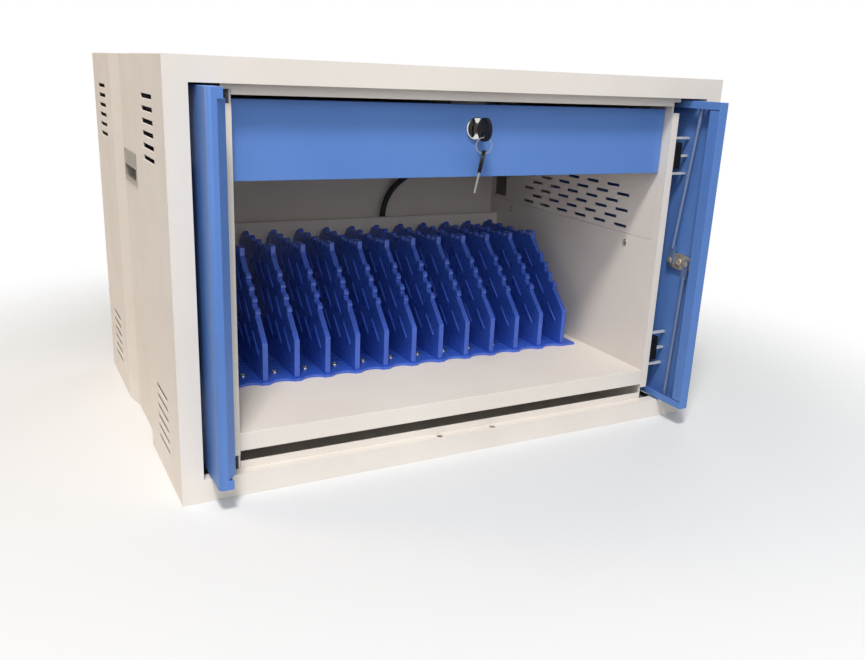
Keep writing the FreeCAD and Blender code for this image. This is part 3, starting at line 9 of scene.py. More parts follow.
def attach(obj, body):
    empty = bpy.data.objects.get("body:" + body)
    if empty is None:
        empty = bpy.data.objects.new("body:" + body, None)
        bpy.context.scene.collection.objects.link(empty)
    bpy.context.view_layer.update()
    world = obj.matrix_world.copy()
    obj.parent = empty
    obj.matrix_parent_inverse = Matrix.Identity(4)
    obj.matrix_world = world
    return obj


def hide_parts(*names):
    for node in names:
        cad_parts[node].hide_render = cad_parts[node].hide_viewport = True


# The dressed charging cabinet: powder-coated case and doors, moulded dividers, plated locks and slides.
# Metres. X runs to the right, Y to the back, Z up. The origin is the middle of the underside.

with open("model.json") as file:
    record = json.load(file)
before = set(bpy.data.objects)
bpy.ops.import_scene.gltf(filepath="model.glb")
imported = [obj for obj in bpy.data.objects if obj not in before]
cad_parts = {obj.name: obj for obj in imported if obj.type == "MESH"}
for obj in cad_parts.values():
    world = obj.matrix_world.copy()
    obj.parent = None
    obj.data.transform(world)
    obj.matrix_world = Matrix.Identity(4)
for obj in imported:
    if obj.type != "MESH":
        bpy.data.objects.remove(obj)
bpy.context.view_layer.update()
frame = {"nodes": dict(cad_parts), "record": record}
nodes = frame["nodes"]
MM = 0.001
FULL_TURN = 2 * math.pi

# The camera, from a fit to the picture's straight edges
CAMERA_PLACE = (-0.43228, -0.91909, 0.38738)
CAMERA_RIGHT = (0.88457971, -0.46448758, 0.04207171)
CAMERA_UP = (0.10027735, 0.27751386, 0.95547397)
CAMERA_BACK = (-0.45548128, -0.84097405, 0.29206071)
CAMERA_LENS = 35.06
CAMERA_SENSOR = 36

# Colours as they are mixed, in display values from 0 to 255
CREAM = (229, 221, 212)
CREAM_SHADE = (222, 213, 203)
DOOR_BLUE = (93, 131, 196)
DOOR_BLUE_SHADE = (86, 124, 189)
DIVIDER_BLUE = (62, 100, 200)
DIVIDER_BLUE_SHADE = (48, 84, 182)
ZINC_LIGHT = (206, 205, 200)
ZINC_DARK = (172, 171, 168)
# The rods' dull zinc, with a painted reflection of the blue doors mixed into its colour as a blue tint
ROD_REFLECTED_BLUE = (116, 136, 174)
ROD_REFLECTED_BLUE_DARK = (100, 120, 158)
CRANK_LIGHT = (196, 186, 170)
CRANK_DARK = (158, 147, 132)
FINGER_LIGHT = (238, 236, 230)
FINGER_DARK = (222, 219, 212)
CHROME_LIGHT = (222, 221, 218)
CHROME_SHADE = (206, 205, 200)
# The lock face's plate, darkened as painted shade, with a second tone that carries a painted blue
# reflection
LOCK_FACE_PAINTED_SHADE = (112, 108, 104)
LOCK_FACE_PAINTED_BLUE_REFLECTION = (100, 120, 158)
NICKEL = (158, 155, 152)
NICKEL_SHADE = (122, 119, 116)
GREY_PLASTIC = (164, 156, 145)
GREY_PLASTIC_WORN = (148, 140, 129)
BLACK_PLASTIC = (20, 20, 23)
BLACK_PLASTIC_WORN = (29, 28, 31)
RUBBER = (26, 26, 28)
RUBBER_WORN = (38, 38, 40)


def linear(colour):
    """A display colour from 0 to 255 turned into the light values that the shader takes."""
    share = np.array(colour) / 255
    light = np.where(share <= 0.04045, share / 12.92, ((share + 0.055) / 1.055) ** 2.4)
    return (*[float(value) for value in light], 1.0)


# Materials

class Finish:
    """One material with a shader of its own and short calls that add nodes to it."""

    def __init__(self, name, roughness, metallic=0.0, specular=0.5):
        self.material = bpy.data.materials.new(name)
        self.material.use_nodes = True
        self.tree = self.material.node_tree
        self.shader = self.tree.nodes["Principled BSDF"]
        self.shader.inputs["Roughness"].default_value = roughness
        self.shader.inputs["Metallic"].default_value = metallic
        self.shader.inputs["Specular IOR Level"].default_value = specular
        self.place = self.tree.nodes.new("ShaderNodeTexCoord").outputs["Object"]
        self.normal = None

    def stretch(self, scale):
        """Object coordinates drawn out along the axes, for a brushed or flowing pattern."""
        mapping = self.tree.nodes.new("ShaderNodeMapping")
        mapping.inputs["Scale"].default_value = scale
        self.tree.links.new(self.place, mapping.inputs["Vector"])
        return mapping.outputs["Vector"]

    def noise(self, scale, detail, rough=0.5, place=None):
        """A soft cloud pattern with this many clouds to a metre."""
        texture = self.tree.nodes.new("ShaderNodeTexNoise")
        texture.inputs["Scale"].default_value = scale
        texture.inputs["Detail"].default_value = detail
        texture.inputs["Roughness"].default_value = rough
        self.tree.links.new(place or self.place, texture.inputs["Vector"])
        return texture.outputs["Fac"]

    def cells(self, scale):
        """A pattern of crystal cells, each with one value, with this many to a metre."""
        texture = self.tree.nodes.new("ShaderNodeTexVoronoi")
        texture.inputs["Scale"].default_value = scale
        self.tree.links.new(self.place, texture.inputs["Vector"])
        tone = self.tree.nodes.new("ShaderNodeSeparateColor")
        self.tree.links.new(texture.outputs["Color"], tone.inputs["Color"])
        return tone.outputs["Red"]

    def span(self, value, low, high, start=0.3, stop=0.7):
        """Spreads a pattern's values from start to stop between a low and a high number."""
        reach = self.tree.nodes.new("ShaderNodeMapRange")
        reach.inputs["From Min"].default_value = start
        reach.inputs["From Max"].default_value = stop
        reach.inputs["To Min"].default_value = low
        reach.inputs["To Max"].default_value = high
        self.tree.links.new(value, reach.inputs["Value"])
        return reach.outputs["Result"]

    def blend(self, amount, first, second):
        """Two colours mixed by a pattern. Each is a display colour or the outcome of another mix."""
        mix = self.tree.nodes.new("ShaderNodeMix")
        mix.data_type = "RGBA"
        self.tree.links.new(amount, mix.inputs["Factor"])
        for name, colour in (("A", first), ("B", second)):
            socket = [item for item in mix.inputs if item.name == name and item.type == "RGBA"][0]
            if isinstance(colour, bpy.types.NodeSocket):
                self.tree.links.new(colour, socket)
            else:
                socket.default_value = linear(colour)
        return [item for item in mix.outputs if item.type == "RGBA"][0]

    def colour(self, value):
        """Colours the surface by a pattern."""
        self.tree.links.new(value, self.shader.inputs["Base Color"])

    def roughness(self, value):
        """Makes the surface rougher and smoother by a pattern."""
        self.tree.links.new(value, self.shader.inputs["Roughness"])

    def bump(self, height, strength, depth):
        """Raises the surface by a pattern, on top of any bump before it."""
        bump = self.tree.nodes.new("ShaderNodeBump")
        bump.inputs["Strength"].default_value = strength
        bump.inputs["Distance"].default_value = depth
        self.tree.links.new(height, bump.inputs["Height"])
        if self.normal:
            self.tree.links.new(self.normal, bump.inputs["Normal"])
        self.normal = bump.outputs["Normal"]
        self.tree.links.new(self.normal, self.shader.inputs["Normal"])


# Powder paint: how many of each mark there are to a metre, and how deep the skin is
PAINT_CLOUDS = 9
PAINT_SPECKS = 420
PAINT_SPECK_SHARE = 0.35
PAINT_GLOSS_PATCHES = 38
ORANGE_PEEL = 620
ORANGE_PEEL_STRENGTH = 0.16
ORANGE_PEEL_DEPTH = 0.22 * MM
SHEET_WAVES = 55
SHEET_WAVE_STRENGTH = 0.05
SHEET_WAVE_DEPTH = 0.8 * MM


def powder_coat(name, colour, shade, gloss, specular):
    """Baked powder paint: faint clouds and specks in the tone, uneven gloss between the two roughness
    values, a fine orange-peel skin and the sheet's own long shallow waves."""
    finish = Finish(name, gloss[1], specular=specular)
    clouds = finish.noise(PAINT_CLOUDS, 3)
    specks = finish.noise(PAINT_SPECKS, 2, 0.6)
    tone = finish.blend(finish.span(clouds, 0.0, 1.0), colour, shade)
    finish.colour(finish.blend(finish.span(specks, 0.0, PAINT_SPECK_SHARE), tone, shade))
    finish.roughness(finish.span(finish.noise(PAINT_GLOSS_PATCHES, 3), *gloss))
    finish.bump(finish.noise(ORANGE_PEEL, 2), ORANGE_PEEL_STRENGTH, ORANGE_PEEL_DEPTH)
    finish.bump(finish.noise(SHEET_WAVES, 1), SHEET_WAVE_STRENGTH, SHEET_WAVE_DEPTH)
    return finish.material


# Moulded plastic: flow clouds, gloss patches and the depth of the spark grain
FLOW_CLOUDS = 16
FLOW_STRETCH = (1.0, 0.35, 1.6)
MOULD_GLOSS_PATCHES = 70
SPARK_DEPTH = 0.15 * MM


def moulded(name, colour, shade, gloss, grain, grain_count, specular=0.3):
    """Injection-moulded plastic: flow clouds drawn out along the mould, uneven gloss between the two
    roughness values and a fine spark grain of this strength and this many grains to a metre."""
    finish = Finish(name, gloss[1], specular=specular)
    flow = finish.noise(FLOW_CLOUDS, 3, 0.55, finish.stretch(FLOW_STRETCH))
    finish.colour(finish.blend(finish.span(flow, 0.0, 1.0), colour, shade))
    finish.roughness(finish.span(finish.noise(MOULD_GLOSS_PATCHES, 2), *gloss))
    finish.bump(finish.noise(grain_count, 2), grain, SPARK_DEPTH)
    return finish.material


# Zinc plate: crystal cells and the grain that drawing the steel leaves
ZINC_CELLS = 900
DRAWN_GRAIN = 900
DRAWN_STRETCH = (1.0, 1.0, 0.08)
DRAWN_STRENGTH = 0.08
DRAWN_DEPTH = 0.1 * MM


def zinc_plate(name, colour, shade, gloss, metallic=1.0):
    """Zinc on steel: small crystal cells of two greys, each with its own gloss, and a fine drawn grain."""
    finish = Finish(name, gloss[1], metallic=metallic)
    spangle = finish.cells(ZINC_CELLS)
    finish.colour(finish.blend(spangle, colour, shade))
    finish.roughness(finish.span(spangle, *gloss, 0.0, 1.0))
    grain = finish.noise(DRAWN_GRAIN, 2, 0.6, finish.stretch(DRAWN_STRETCH))
    finish.bump(grain, DRAWN_STRENGTH, DRAWN_DEPTH)
    return finish.material


# Bright plate: a faint haze and hairline marks
HAZE_CLOUDS = 240
HAZE_SHARE = 0.3
HAZE_GLOSS = (0.06, 0.18)
MIRROR_ROUGHNESS = 0.1
HAIRLINES = 1500
HAIRLINE_STRETCH = (1.0, 0.1, 1.0)
HAIRLINE_STRENGTH = 0.05
HAIRLINE_DEPTH = 0.08 * MM


def bright_plate(name, colour, shade):
    """Chrome or nickel plate: a mirror with hairline marks and a faint haze."""
    finish = Finish(name, MIRROR_ROUGHNESS, metallic=1.0)
    haze = finish.noise(HAZE_CLOUDS, 3)
    finish.colour(finish.blend(finish.span(haze, 0.0, HAZE_SHARE), colour, shade))
    finish.roughness(finish.span(haze, *HAZE_GLOSS))
    lines = finish.noise(HAIRLINES, 1, 0.5, finish.stretch(HAIRLINE_STRETCH))
    finish.bump(lines, HAIRLINE_STRENGTH, HAIRLINE_DEPTH)
    return finish.material


CREAM_PAINT = powder_coat("cream_powder_coat", CREAM, CREAM_SHADE, gloss=(0.42, 0.55), specular=0.16)
BLUE_PAINT = powder_coat("blue_powder_coat", DOOR_BLUE, DOOR_BLUE_SHADE, gloss=(0.36, 0.5), specular=0.28)
BLUE_PLASTIC = moulded("blue_moulding", DIVIDER_BLUE, DIVIDER_BLUE_SHADE,
                       gloss=(0.24, 0.36), grain=0.1, grain_count=1500, specular=0.7)
GREY_MOULDING = moulded("grey_moulding", GREY_PLASTIC, GREY_PLASTIC_WORN,
                        gloss=(0.4, 0.55), grain=0.2, grain_count=1600)
BLACK_MOULDING = moulded("black_moulding", BLACK_PLASTIC, BLACK_PLASTIC_WORN,
                         gloss=(0.34, 0.52), grain=0.22, grain_count=1800, specular=0.12)
BLACK_RUBBER = moulded("black_rubber", RUBBER, RUBBER_WORN, gloss=(0.5, 0.66), grain=0.12, grain_count=900)
ZINC = zinc_plate("zinc_plate", ZINC_LIGHT, ZINC_DARK, gloss=(0.26, 0.4))
# Painted reflection: the rods' zinc is tinted with the blue of the doors
ROD_ZINC_WITH_PAINTED_REFLECTION = zinc_plate("dull_rod_plate_painted_blue_reflection", ROD_REFLECTED_BLUE, ROD_REFLECTED_BLUE_DARK, gloss=(0.42, 0.55), metallic=0.45)
CRANK_ZINC = zinc_plate("warm_crank_plate", CRANK_LIGHT, CRANK_DARK, gloss=(0.26, 0.4), metallic=0.6)
FINGER_ZINC = zinc_plate("bright_finger_plate", FINGER_LIGHT, FINGER_DARK, gloss=(0.28, 0.38), metallic=0.4)
CHROME = bright_plate("chrome_plate", CHROME_LIGHT, CHROME_SHADE)
# Painted shade: the lock face's plate is darkened so that it looks shaded, and tinted with a painted blue
# reflection
SHADED_LOCK_PLATE = bright_plate("lock_plate_painted_shade", LOCK_FACE_PAINTED_SHADE, LOCK_FACE_PAINTED_BLUE_REFLECTION)
KEY_NICKEL = bright_plate("key_nickel", NICKEL, NICKEL_SHADE)

SLOT_FINISHES = {
    "cream_paint": CREAM_PAINT,
    "blue_paint": BLUE_PAINT,
    "blue_plastic": BLUE_PLASTIC,
    "zinc_steel": ZINC,
    "chrome": CHROME,
    "grey_plastic": GREY_MOULDING,
    "black_plastic": BLACK_MOULDING,
    "black_rubber": BLACK_RUBBER,
}

# Parts whose plating differs from the rest of their slot, or whose plate carries painted light: the rods'
# painted blue reflection and the lock face's painted shade
NODE_FINISHES = {
    "upper_rod": ROD_ZINC_WITH_PAINTED_REFLECTION,
    "lower_rod": ROD_ZINC_WITH_PAINTED_REFLECTION,
    "rod_crank": CRANK_ZINC,
    "left_guide_fingers": FINGER_ZINC,
    "right_guide_fingers": FINGER_ZINC,
    "lock_core": SHADED_LOCK_PLATE,
    "key_ring": KEY_NICKEL,
    "key_blade": KEY_NICKEL,
    "spare_key_blade": KEY_NICKEL,
}


def paint_nodes():
    """Gives every solid its own finish where its plating or its painted light differs, or else the finish
    of its slot.
    """
    for row in frame["record"]["subparts"]:
        mesh = nodes[row["node"]].data
        mesh.materials.clear()
        mesh.materials.append(NODE_FINISHES.get(row["node"], SLOT_FINISHES[row["material_slot"]]))


# How far the edges of folds, cuts and mouldings are broken
EDGE_ROUNDS = {
    "left_side_panel": 0.5 * MM,
    "right_side_panel": 0.5 * MM,
    "left_door": 0.35 * MM,
    "right_door": 0.35 * MM,
    "drawer_front": 0.4 * MM,
    "shelf": 0.5 * MM,
    "dividers": 0.8 * MM,
    "divider_base": 0.4 * MM,
    "left_grip": 0.5 * MM,
    "right_grip": 0.5 * MM,
    "left_guide_blocks": 0.6 * MM,
    "right_guide_blocks": 0.6 * MM,
    "rod_crank": 0.4 * MM,
    "power_inlet": 0.3 * MM,
    "power_strip": 0.6 * MM,
    "back_panel": 0.4 * MM,
    "top_panel": 0.4 * MM,
}
EDGE_JOIN = 0.001 * MM
EDGE_SEGMENTS = 2
EDGE_ANGLE = math.radians(40)


def round_edges():
    """Breaks the sharp edges of the sheet and the mouldings by a share of a millimetre."""
    for name, radius in EDGE_ROUNDS.items():
        join = nodes[name].modifiers.new("join", "WELD")
        join.merge_threshold = EDGE_JOIN
        edge = nodes[name].modifiers.new("edge_round", "BEVEL")
        edge.width = radius
        edge.segments = EDGE_SEGMENTS
        edge.limit_method = "ANGLE"
        edge.angle_limit = EDGE_ANGLE
        edge.use_clamp_overlap = False


# Surfaces

def grid_faces(rows, columns, around):
    """Four-sided faces between the points of a grid, closed across the columns if it goes around."""
    row = np.arange(rows - 1)[:, None] * columns
    column = np.arange(columns if around else columns - 1)[None, :]
    after = (column + 1) % columns
    corners = (row + column, row + after, row + columns + after, row + columns + column)
    return np.stack(np.broadcast_arrays(*corners), -1).reshape(-1, 4)


def put(name, points, faces, finish, body):
    """Makes a smooth piece of whole arrays of points and four-sided faces, and lets it ride on its body."""
    mesh = bpy.data.meshes.new(name)
    mesh.vertices.add(len(points))
    mesh.vertices.foreach_set("co", np.asarray(points, float).ravel())
    mesh.loops.add(faces.size)
    mesh.loops.foreach_set("vertex_index", faces.ravel().astype(np.int32))
    mesh.polygons.add(len(faces))
    mesh.polygons.foreach_set("loop_start", np.arange(len(faces), dtype=np.int32) * faces.shape[1])
    mesh.polygons.foreach_set("use_smooth", np.full(len(faces), True))
    mesh.update(calc_edges=True)
    mesh.validate()
    mesh.materials.append(finish)
    piece = bpy.data.objects.new(name, mesh)
    bpy.context.scene.collection.objects.link(piece)
    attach(piece, body)
    return piece


def repeated(points, faces, places):
    """The same grid of points put at each place, as one array of points and one of faces."""
    places = np.asarray(places, float)
    every = (places[:, None, :] + points[None, :, :]).reshape(-1, 3)
    steps = np.arange(len(places))[:, None, None] * len(points)
    return every, (faces[None, :, :] + steps).reshape(-1, faces.shape[1])


def turned(points, outward):
    """Points drawn with their height along Z, turned so that the height runs along an axis, outwards."""
    outward = np.asarray(outward, float)
    helper = np.array((0.0, 0.0, 1.0)) if abs(outward[2]) < 0.5 else np.array((0.0, 1.0, 0.0))
    first = np.cross(helper, outward)
    second = np.cross(outward, first)
    return points[:, :1] * first + points[:, 1:2] * second + points[:, 2:3] * outward


# A pan head's rings and its cross, as shares of its radius, and its rim as a share of its height
HEAD_RINGS = (1.0, 1.0, 0.985, 0.94, 0.86, 0.76, 0.66, 0.56, 0.46, 0.37, 0.28, 0.2, 0.13, 0.06, 0.0)
HEAD_SIDES = 48
HEAD_RIM = 0.45
CROSS_ARM = 0.17
CROSS_ARM_EDGE = 0.06
CROSS_REACH = 0.62
CROSS_REACH_EDGE = 0.1
CROSS_FLOOR = 1.1


def screw_head(radius, height, recess):
    """A pan head with a cross recess. Over the radius r and the angle, the height is that of a flat
    dome, less the recess depth where the point lies in either arm of the cross. The recess is deepest
    in the middle and rises towards the ends of its arms."""
    angles = np.linspace(0, FULL_TURN, HEAD_SIDES, endpoint=False)
    reach, angle = np.meshgrid(np.array(HEAD_RINGS), angles, indexing="ij")
    x = reach * np.cos(angle)
    y = reach * np.sin(angle)
    rise = HEAD_RIM + (1 - HEAD_RIM) * np.sqrt(np.clip(1 - reach ** 2, 0, 1))
    rise[0] = 0.0
    arm = np.minimum(np.abs(x), np.abs(y))
    inside = np.clip((CROSS_ARM - arm) / CROSS_ARM_EDGE, 0, 1)
    inside = inside * np.clip((CROSS_REACH - reach) / CROSS_REACH_EDGE, 0, 1)
    depth = inside * recess * np.clip(CROSS_FLOOR - reach, 0, 1)
    points = np.stack((x * radius, y * radius, rise * height - depth), -1).reshape(-1, 3)
    return points, grid_faces(len(HEAD_RINGS), HEAD_SIDES, True)


# Small fastenings

RECESS = 1.3 * MM
WALL_SCREW_RADIUS = 3.6 * MM
WALL_SCREW_HEIGHT = 2.0 * MM
WALL_SCREW_X = 243 * MM
WALL_SCREW_Y = (-147.5 * MM, 103.5 * MM)
WALL_SCREW_Z = 203 * MM
BASE_SCREW_RADIUS = 4.0 * MM
BASE_SCREW_HEIGHT = 2.2 * MM
BASE_SCREW_Y = (-60.5 * MM, 109.5 * MM)
BASE_SCREW_Z = 61 * MM
FIRST_BAY_X = -200.8 * MM
BAY_PITCH = 35.6 * MM
BAY_COUNT = 12
BACK_SCREW_RADIUS = 3.8 * MM
BACK_SCREW_HEIGHT = 2.0 * MM
BACK_SCREW_X = (-286 * MM, 0.0, 286 * MM)
BACK_SCREW_Y = 212.5 * MM
BACK_SCREW_Z = (14 * MM, 196.5 * MM, 379 * MM)
HUB_SCREW_RADIUS = 4.4 * MM
HUB_SCREW_HEIGHT = 2.4 * MM
HUB_PLACE = (267.5 * MM, -214 * MM, 191 * MM)
PIN_CLIP_RADIUS = 3.4 * MM
PIN_CLIP_HEIGHT = 1.3 * MM
PIN_CLIP_X = 265 * MM
PIN_REACH = 12.6 * MM


def wall_screws():
    """Two screws on each inner wall, which hold the vented panel to it."""
    head, faces = screw_head(WALL_SCREW_RADIUS, WALL_SCREW_HEIGHT, RECESS)
    for side, sign in (("left", -1), ("right", 1)):
        places = [(sign * WALL_SCREW_X, y, WALL_SCREW_Z) for y in WALL_SCREW_Y]
        points, quads = repeated(turned(head, (-sign, 0, 0)), faces, places)
        put(side + "_wall_screws", points, quads, ZINC, "cabinet")


def base_screws():
    """A front and a rear screw in every bay, through the divider base into the shelf."""
    head, faces = screw_head(BASE_SCREW_RADIUS, BASE_SCREW_HEIGHT, RECESS)
    bays = [FIRST_BAY_X + bay * BAY_PITCH for bay in range(BAY_COUNT)]
    places = [(x, y, BASE_SCREW_Z) for x in bays for y in BASE_SCREW_Y]
    points, quads = repeated(turned(head, (0, 0, 1)), faces, places)
    put("base_screws", points, quads, ZINC, "cabinet")


def back_screws():
    """Eight screws round the edge of the back panel, three to a side."""
    head, faces = screw_head(BACK_SCREW_RADIUS, BACK_SCREW_HEIGHT, RECESS)
    places = [(x, BACK_SCREW_Y, z) for x in BACK_SCREW_X for z in BACK_SCREW_Z]
    places.remove((BACK_SCREW_X[1], BACK_SCREW_Y, BACK_SCREW_Z[1]))
    points, quads = repeated(turned(head, (0, 1, 0)), faces, places)
    put("back_panel_screws", points, quads, ZINC, "cabinet")


def crank_fastenings():
    """The screw on the crank's hub and the plain domed clip on each crank pin."""
    head, faces = screw_head(HUB_SCREW_RADIUS, HUB_SCREW_HEIGHT, RECESS)
    points = turned(head, (-1, 0, 0)) + np.array(HUB_PLACE)
    put("crank_hub_screw", points, faces, CRANK_ZINC, "crank")
    clip, faces = screw_head(PIN_CLIP_RADIUS, PIN_CLIP_HEIGHT, 0.0)
    places = [(PIN_CLIP_X, HUB_PLACE[1] + sign * PIN_REACH, HUB_PLACE[2]) for sign in (-1, 1)]
    points, quads = repeated(turned(clip, (-1, 0, 0)), faces, places)
    put("crank_pin_clips", points, quads, CRANK_ZINC, "crank")


# The dividers' ribs

PLATE_COUNT = BAY_COUNT + 1
FIRST_PLATE_X = FIRST_BAY_X - BAY_PITCH / 2
PLATE_HALF = 3 * MM
SLOPE_FOOT_Y = -86.5 * MM
SLOPE_FOOT_Z = 103 * MM
SLOPE_RUN = 84 * MM
SLOPE_RISE = 82 * MM
SLOPE_ANGLE = math.atan2(SLOPE_RISE, SLOPE_RUN)
RIB_LENGTH = 30 * MM
RIB_WIDTH = 4.4 * MM
RIB_HEIGHT = 1.7 * MM
RIB_SEAT = 0.2 * MM
RIB_START = -1 * MM
RIB_DROP = 21.5 * MM
RIB_STEP = 42 * MM
RIB_ROW_STEP = 31 * MM
RIB_COUNT = 3
RIB_END = 0.14
RIB_TIP = 0.03
RIB_COLUMNS = 7


def divider_ribs():
    """Rounded ribs on both faces of every divider, slanted like its front edge. Across a rib the height
    is a half ellipse, and over the end share of its length a second one draws it down to the plate."""
    shares = np.array((0.0, RIB_TIP, RIB_END, 0.5, 1 - RIB_END, 1 - RIB_TIP, 1.0))
    columns = np.cos(np.linspace(math.pi, 0, RIB_COLUMNS))
    along, across = np.meshgrid(shares, columns, indexing="ij")
    past = np.clip((np.abs(along - 0.5) - 0.5 + RIB_END) / RIB_END, 0, 1)
    height = RIB_HEIGHT * np.sqrt(1 - past ** 2) * np.sqrt(np.clip(1 - across ** 2, 0, 1))
    run = RIB_START + along * RIB_LENGTH
    rise = across * RIB_WIDTH / 2 - RIB_DROP
    y = SLOPE_FOOT_Y + run * math.cos(SLOPE_ANGLE) - rise * math.sin(SLOPE_ANGLE)
    z = SLOPE_FOOT_Z + run * math.sin(SLOPE_ANGLE) + rise * math.cos(SLOPE_ANGLE)
    step = (RIB_STEP * math.cos(SLOPE_ANGLE), RIB_STEP * math.sin(SLOPE_ANGLE))
    places = [
        (FIRST_PLATE_X + plate * BAY_PITCH, row * RIB_ROW_STEP + place * step[0], place * step[1])
        for plate in range(PLATE_COUNT) for row in range(RIB_COUNT) for place in range(RIB_COUNT)
    ]
    quads = grid_faces(*along.shape, False)
    for side, sign in (("left", -1), ("right", 1)):
        x = sign * (PLATE_HALF + height - RIB_SEAT)
        rib = np.stack((x, y, z), -1).reshape(-1, 3)
        points, faces = repeated(rib, quads[:, ::-sign], places)
        put("divider_ribs_" + side, points, faces, BLUE_PLASTIC, "cabinet")


# The cable

CABLE_ROUTE = [
    (0.140, 0.1515, 0.322),
    (0.174, 0.1515, 0.320),
    (0.186, 0.1515, 0.288),
    (0.152, 0.1515, 0.264),
    (0.094, 0.1515, 0.250),
    (0.061, 0.1515, 0.217),
    (0.058, 0.1515, 0.166),
    (0.066, 0.1520, 0.126),
    (0.088, 0.1525, 0.101),
    (0.117, 0.1580, 0.095),
    (0.120, 0.1825, 0.095),
]
CABLE_RADIUS = 3.9 * MM
CABLE_STEPS = 16
CABLE_ROUNDNESS = 5
SLEEVE_LENGTH = 24 * MM
SLEEVE_RISE = 2.7 * MM
SLEEVE_WALL = 0.5 * MM
SLEEVE_GROOVE = 0.45 * MM
SLEEVE_GROOVES = 5
SLEEVE_RINGS = 51
SLEEVE_SIDES = 32


def cable_sleeve(line):
    """The tapered strain relief where the cable leaves the outlet strip, carried along the cable's own
    line. Its radius falls in a straight taper, less shallow grooves that follow a cosine, and its last
    ring lies in the cable."""
    steps = np.linalg.norm(np.diff(line, axis=0), axis=1)
    run = np.concatenate(([0.0], np.cumsum(steps)))
    along = np.linspace(0.0, SLEEVE_LENGTH, SLEEVE_RINGS)
    middle = np.stack([np.interp(along, run, line[:, axis]) for axis in range(3)], -1)
    ahead = np.gradient(middle, axis=0)
    ahead /= np.linalg.norm(ahead, axis=1, keepdims=True)
    side = np.broadcast_to((0.0, 1.0, 0.0), middle.shape)
    up = np.cross(ahead, side)
    share = along / SLEEVE_LENGTH
    grooves = 0.5 - 0.5 * np.cos(FULL_TURN * SLEEVE_GROOVES * share)
    radius = CABLE_RADIUS + SLEEVE_WALL + SLEEVE_RISE * (1 - share) - SLEEVE_GROOVE * grooves
    radius[-1] = CABLE_RADIUS - SLEEVE_WALL
    angle = np.linspace(0, FULL_TURN, SLEEVE_SIDES, endpoint=False)[None, :, None]
    spread = np.cos(angle) * side[:, None, :] + np.sin(angle) * up[:, None, :]
    points = middle[:, None, :] + radius[:, None, None] * spread
    faces = grid_faces(SLEEVE_RINGS, SLEEVE_SIDES, True)
    return put("cable_sleeve", points.reshape(-1, 3), faces, BLACK_RUBBER, "cabinet")


def power_cable():
    """The cable from the outlet strip down to the inlet: one smooth spline whose control points are the
    route. Its bare line is read for the sleeve before it gets its thickness."""
    curve = bpy.data.curves.new("strip_to_inlet_cable", "CURVE")
    curve.dimensions = "3D"
    curve.resolution_u = CABLE_STEPS
    spline = curve.splines.new("NURBS")
    spline.points.add(len(CABLE_ROUTE) - 1)
    spline.points.foreach_set("co", np.insert(np.array(CABLE_ROUTE), 3, 1.0, axis=1).ravel())
    spline.order_u = 3
    spline.use_endpoint_u = True
    curve.materials.append(BLACK_RUBBER)
    piece = bpy.data.objects.new("strip_to_inlet_cable", curve)
    bpy.context.scene.collection.objects.link(piece)
    path = bpy.data.meshes.new_from_object(piece)
    line = np.empty(len(path.vertices) * 3)
    path.vertices.foreach_get("co", line)
    bpy.data.meshes.remove(path)
    sleeve = cable_sleeve(line.reshape(-1, 3))
    curve.bevel_depth = CABLE_RADIUS
    curve.bevel_resolution = CABLE_ROUNDNESS
    curve.use_fill_caps = True
    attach(piece, "cabinet")
    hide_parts("power_cable")


# Studio

FLOOR_REACH = 2.6
FLOOR_DROP = 0.2 * MM
FLOOR_RINGS = 12
FLOOR_SIDES = 64
FLOOR_COLOUR = (0.74, 0.74, 0.74, 1)
FLOOR_ROUGHNESS = 0.9
FLOOR_SPECULAR = 0.1
FLOOR_FADE_START = 0.4
FLOOR_FADE_END = 0.85
AMBIENT_COLOUR = (0.86, 0.94, 1.06, 1)
AMBIENT_STRENGTH = 0.22
WHITE = (1, 1, 1, 1)

# Each soft box: its name, its place, what it looks at, its width, its power and its colour
LAMPS = [
    ("ceiling_key", (-0.65, -1.15, 2.05), (0, -0.15, 0.15), 0.36, 37, (1.0, 0.985, 0.96)),
    ("front_fill", (-0.75, -2.1, 1.35), (0, -0.2, 0.2), 1.8, 27.5, (0.93, 0.97, 1.0)),
    ("rear_left_fill", (-1.9, 0.9, 1.1), (0, 0, 0.15), 0.8, 13, (1.0, 0.72, 0.44)),
    ("rear_right_fill", (1.7, 1.3, 0.9), (0, 0, 0.15), 1.4, 14, (1.0, 0.98, 0.95)),
]


def camera():
    """The camera at the picture's place, with its right, up and back directions as columns."""
    lens = bpy.data.cameras.new("camera")
    lens.lens = CAMERA_LENS
    lens.sensor_fit = "HORIZONTAL"
    lens.sensor_width = CAMERA_SENSOR
    eye = bpy.data.objects.new("camera", lens)
    turn = Matrix((CAMERA_RIGHT, CAMERA_UP, CAMERA_BACK)).transposed().to_4x4()
    eye.matrix_world = Matrix.Translation(CAMERA_PLACE) @ turn
    bpy.context.scene.collection.objects.link(eye)
    bpy.context.scene.camera = eye


def lamp(name, place, target, width, power, colour):
    """A square soft box that looks at a target."""
    light = bpy.data.lights.new(name, "AREA")
    light.size = width
    light.energy = power
    light.color = colour
    item = bpy.data.objects.new(name, light)
    back = np.array(place, float) - np.array(target, float)
    back /= np.linalg.norm(back)
    right = np.cross((0.0, 0.0, 1.0), back)
    right /= np.linalg.norm(right)
    turn = Matrix((right, np.cross(back, right), back)).transposed().to_4x4()
    item.matrix_world = Matrix.Translation(place) @ turn
    bpy.context.scene.collection.objects.link(item)


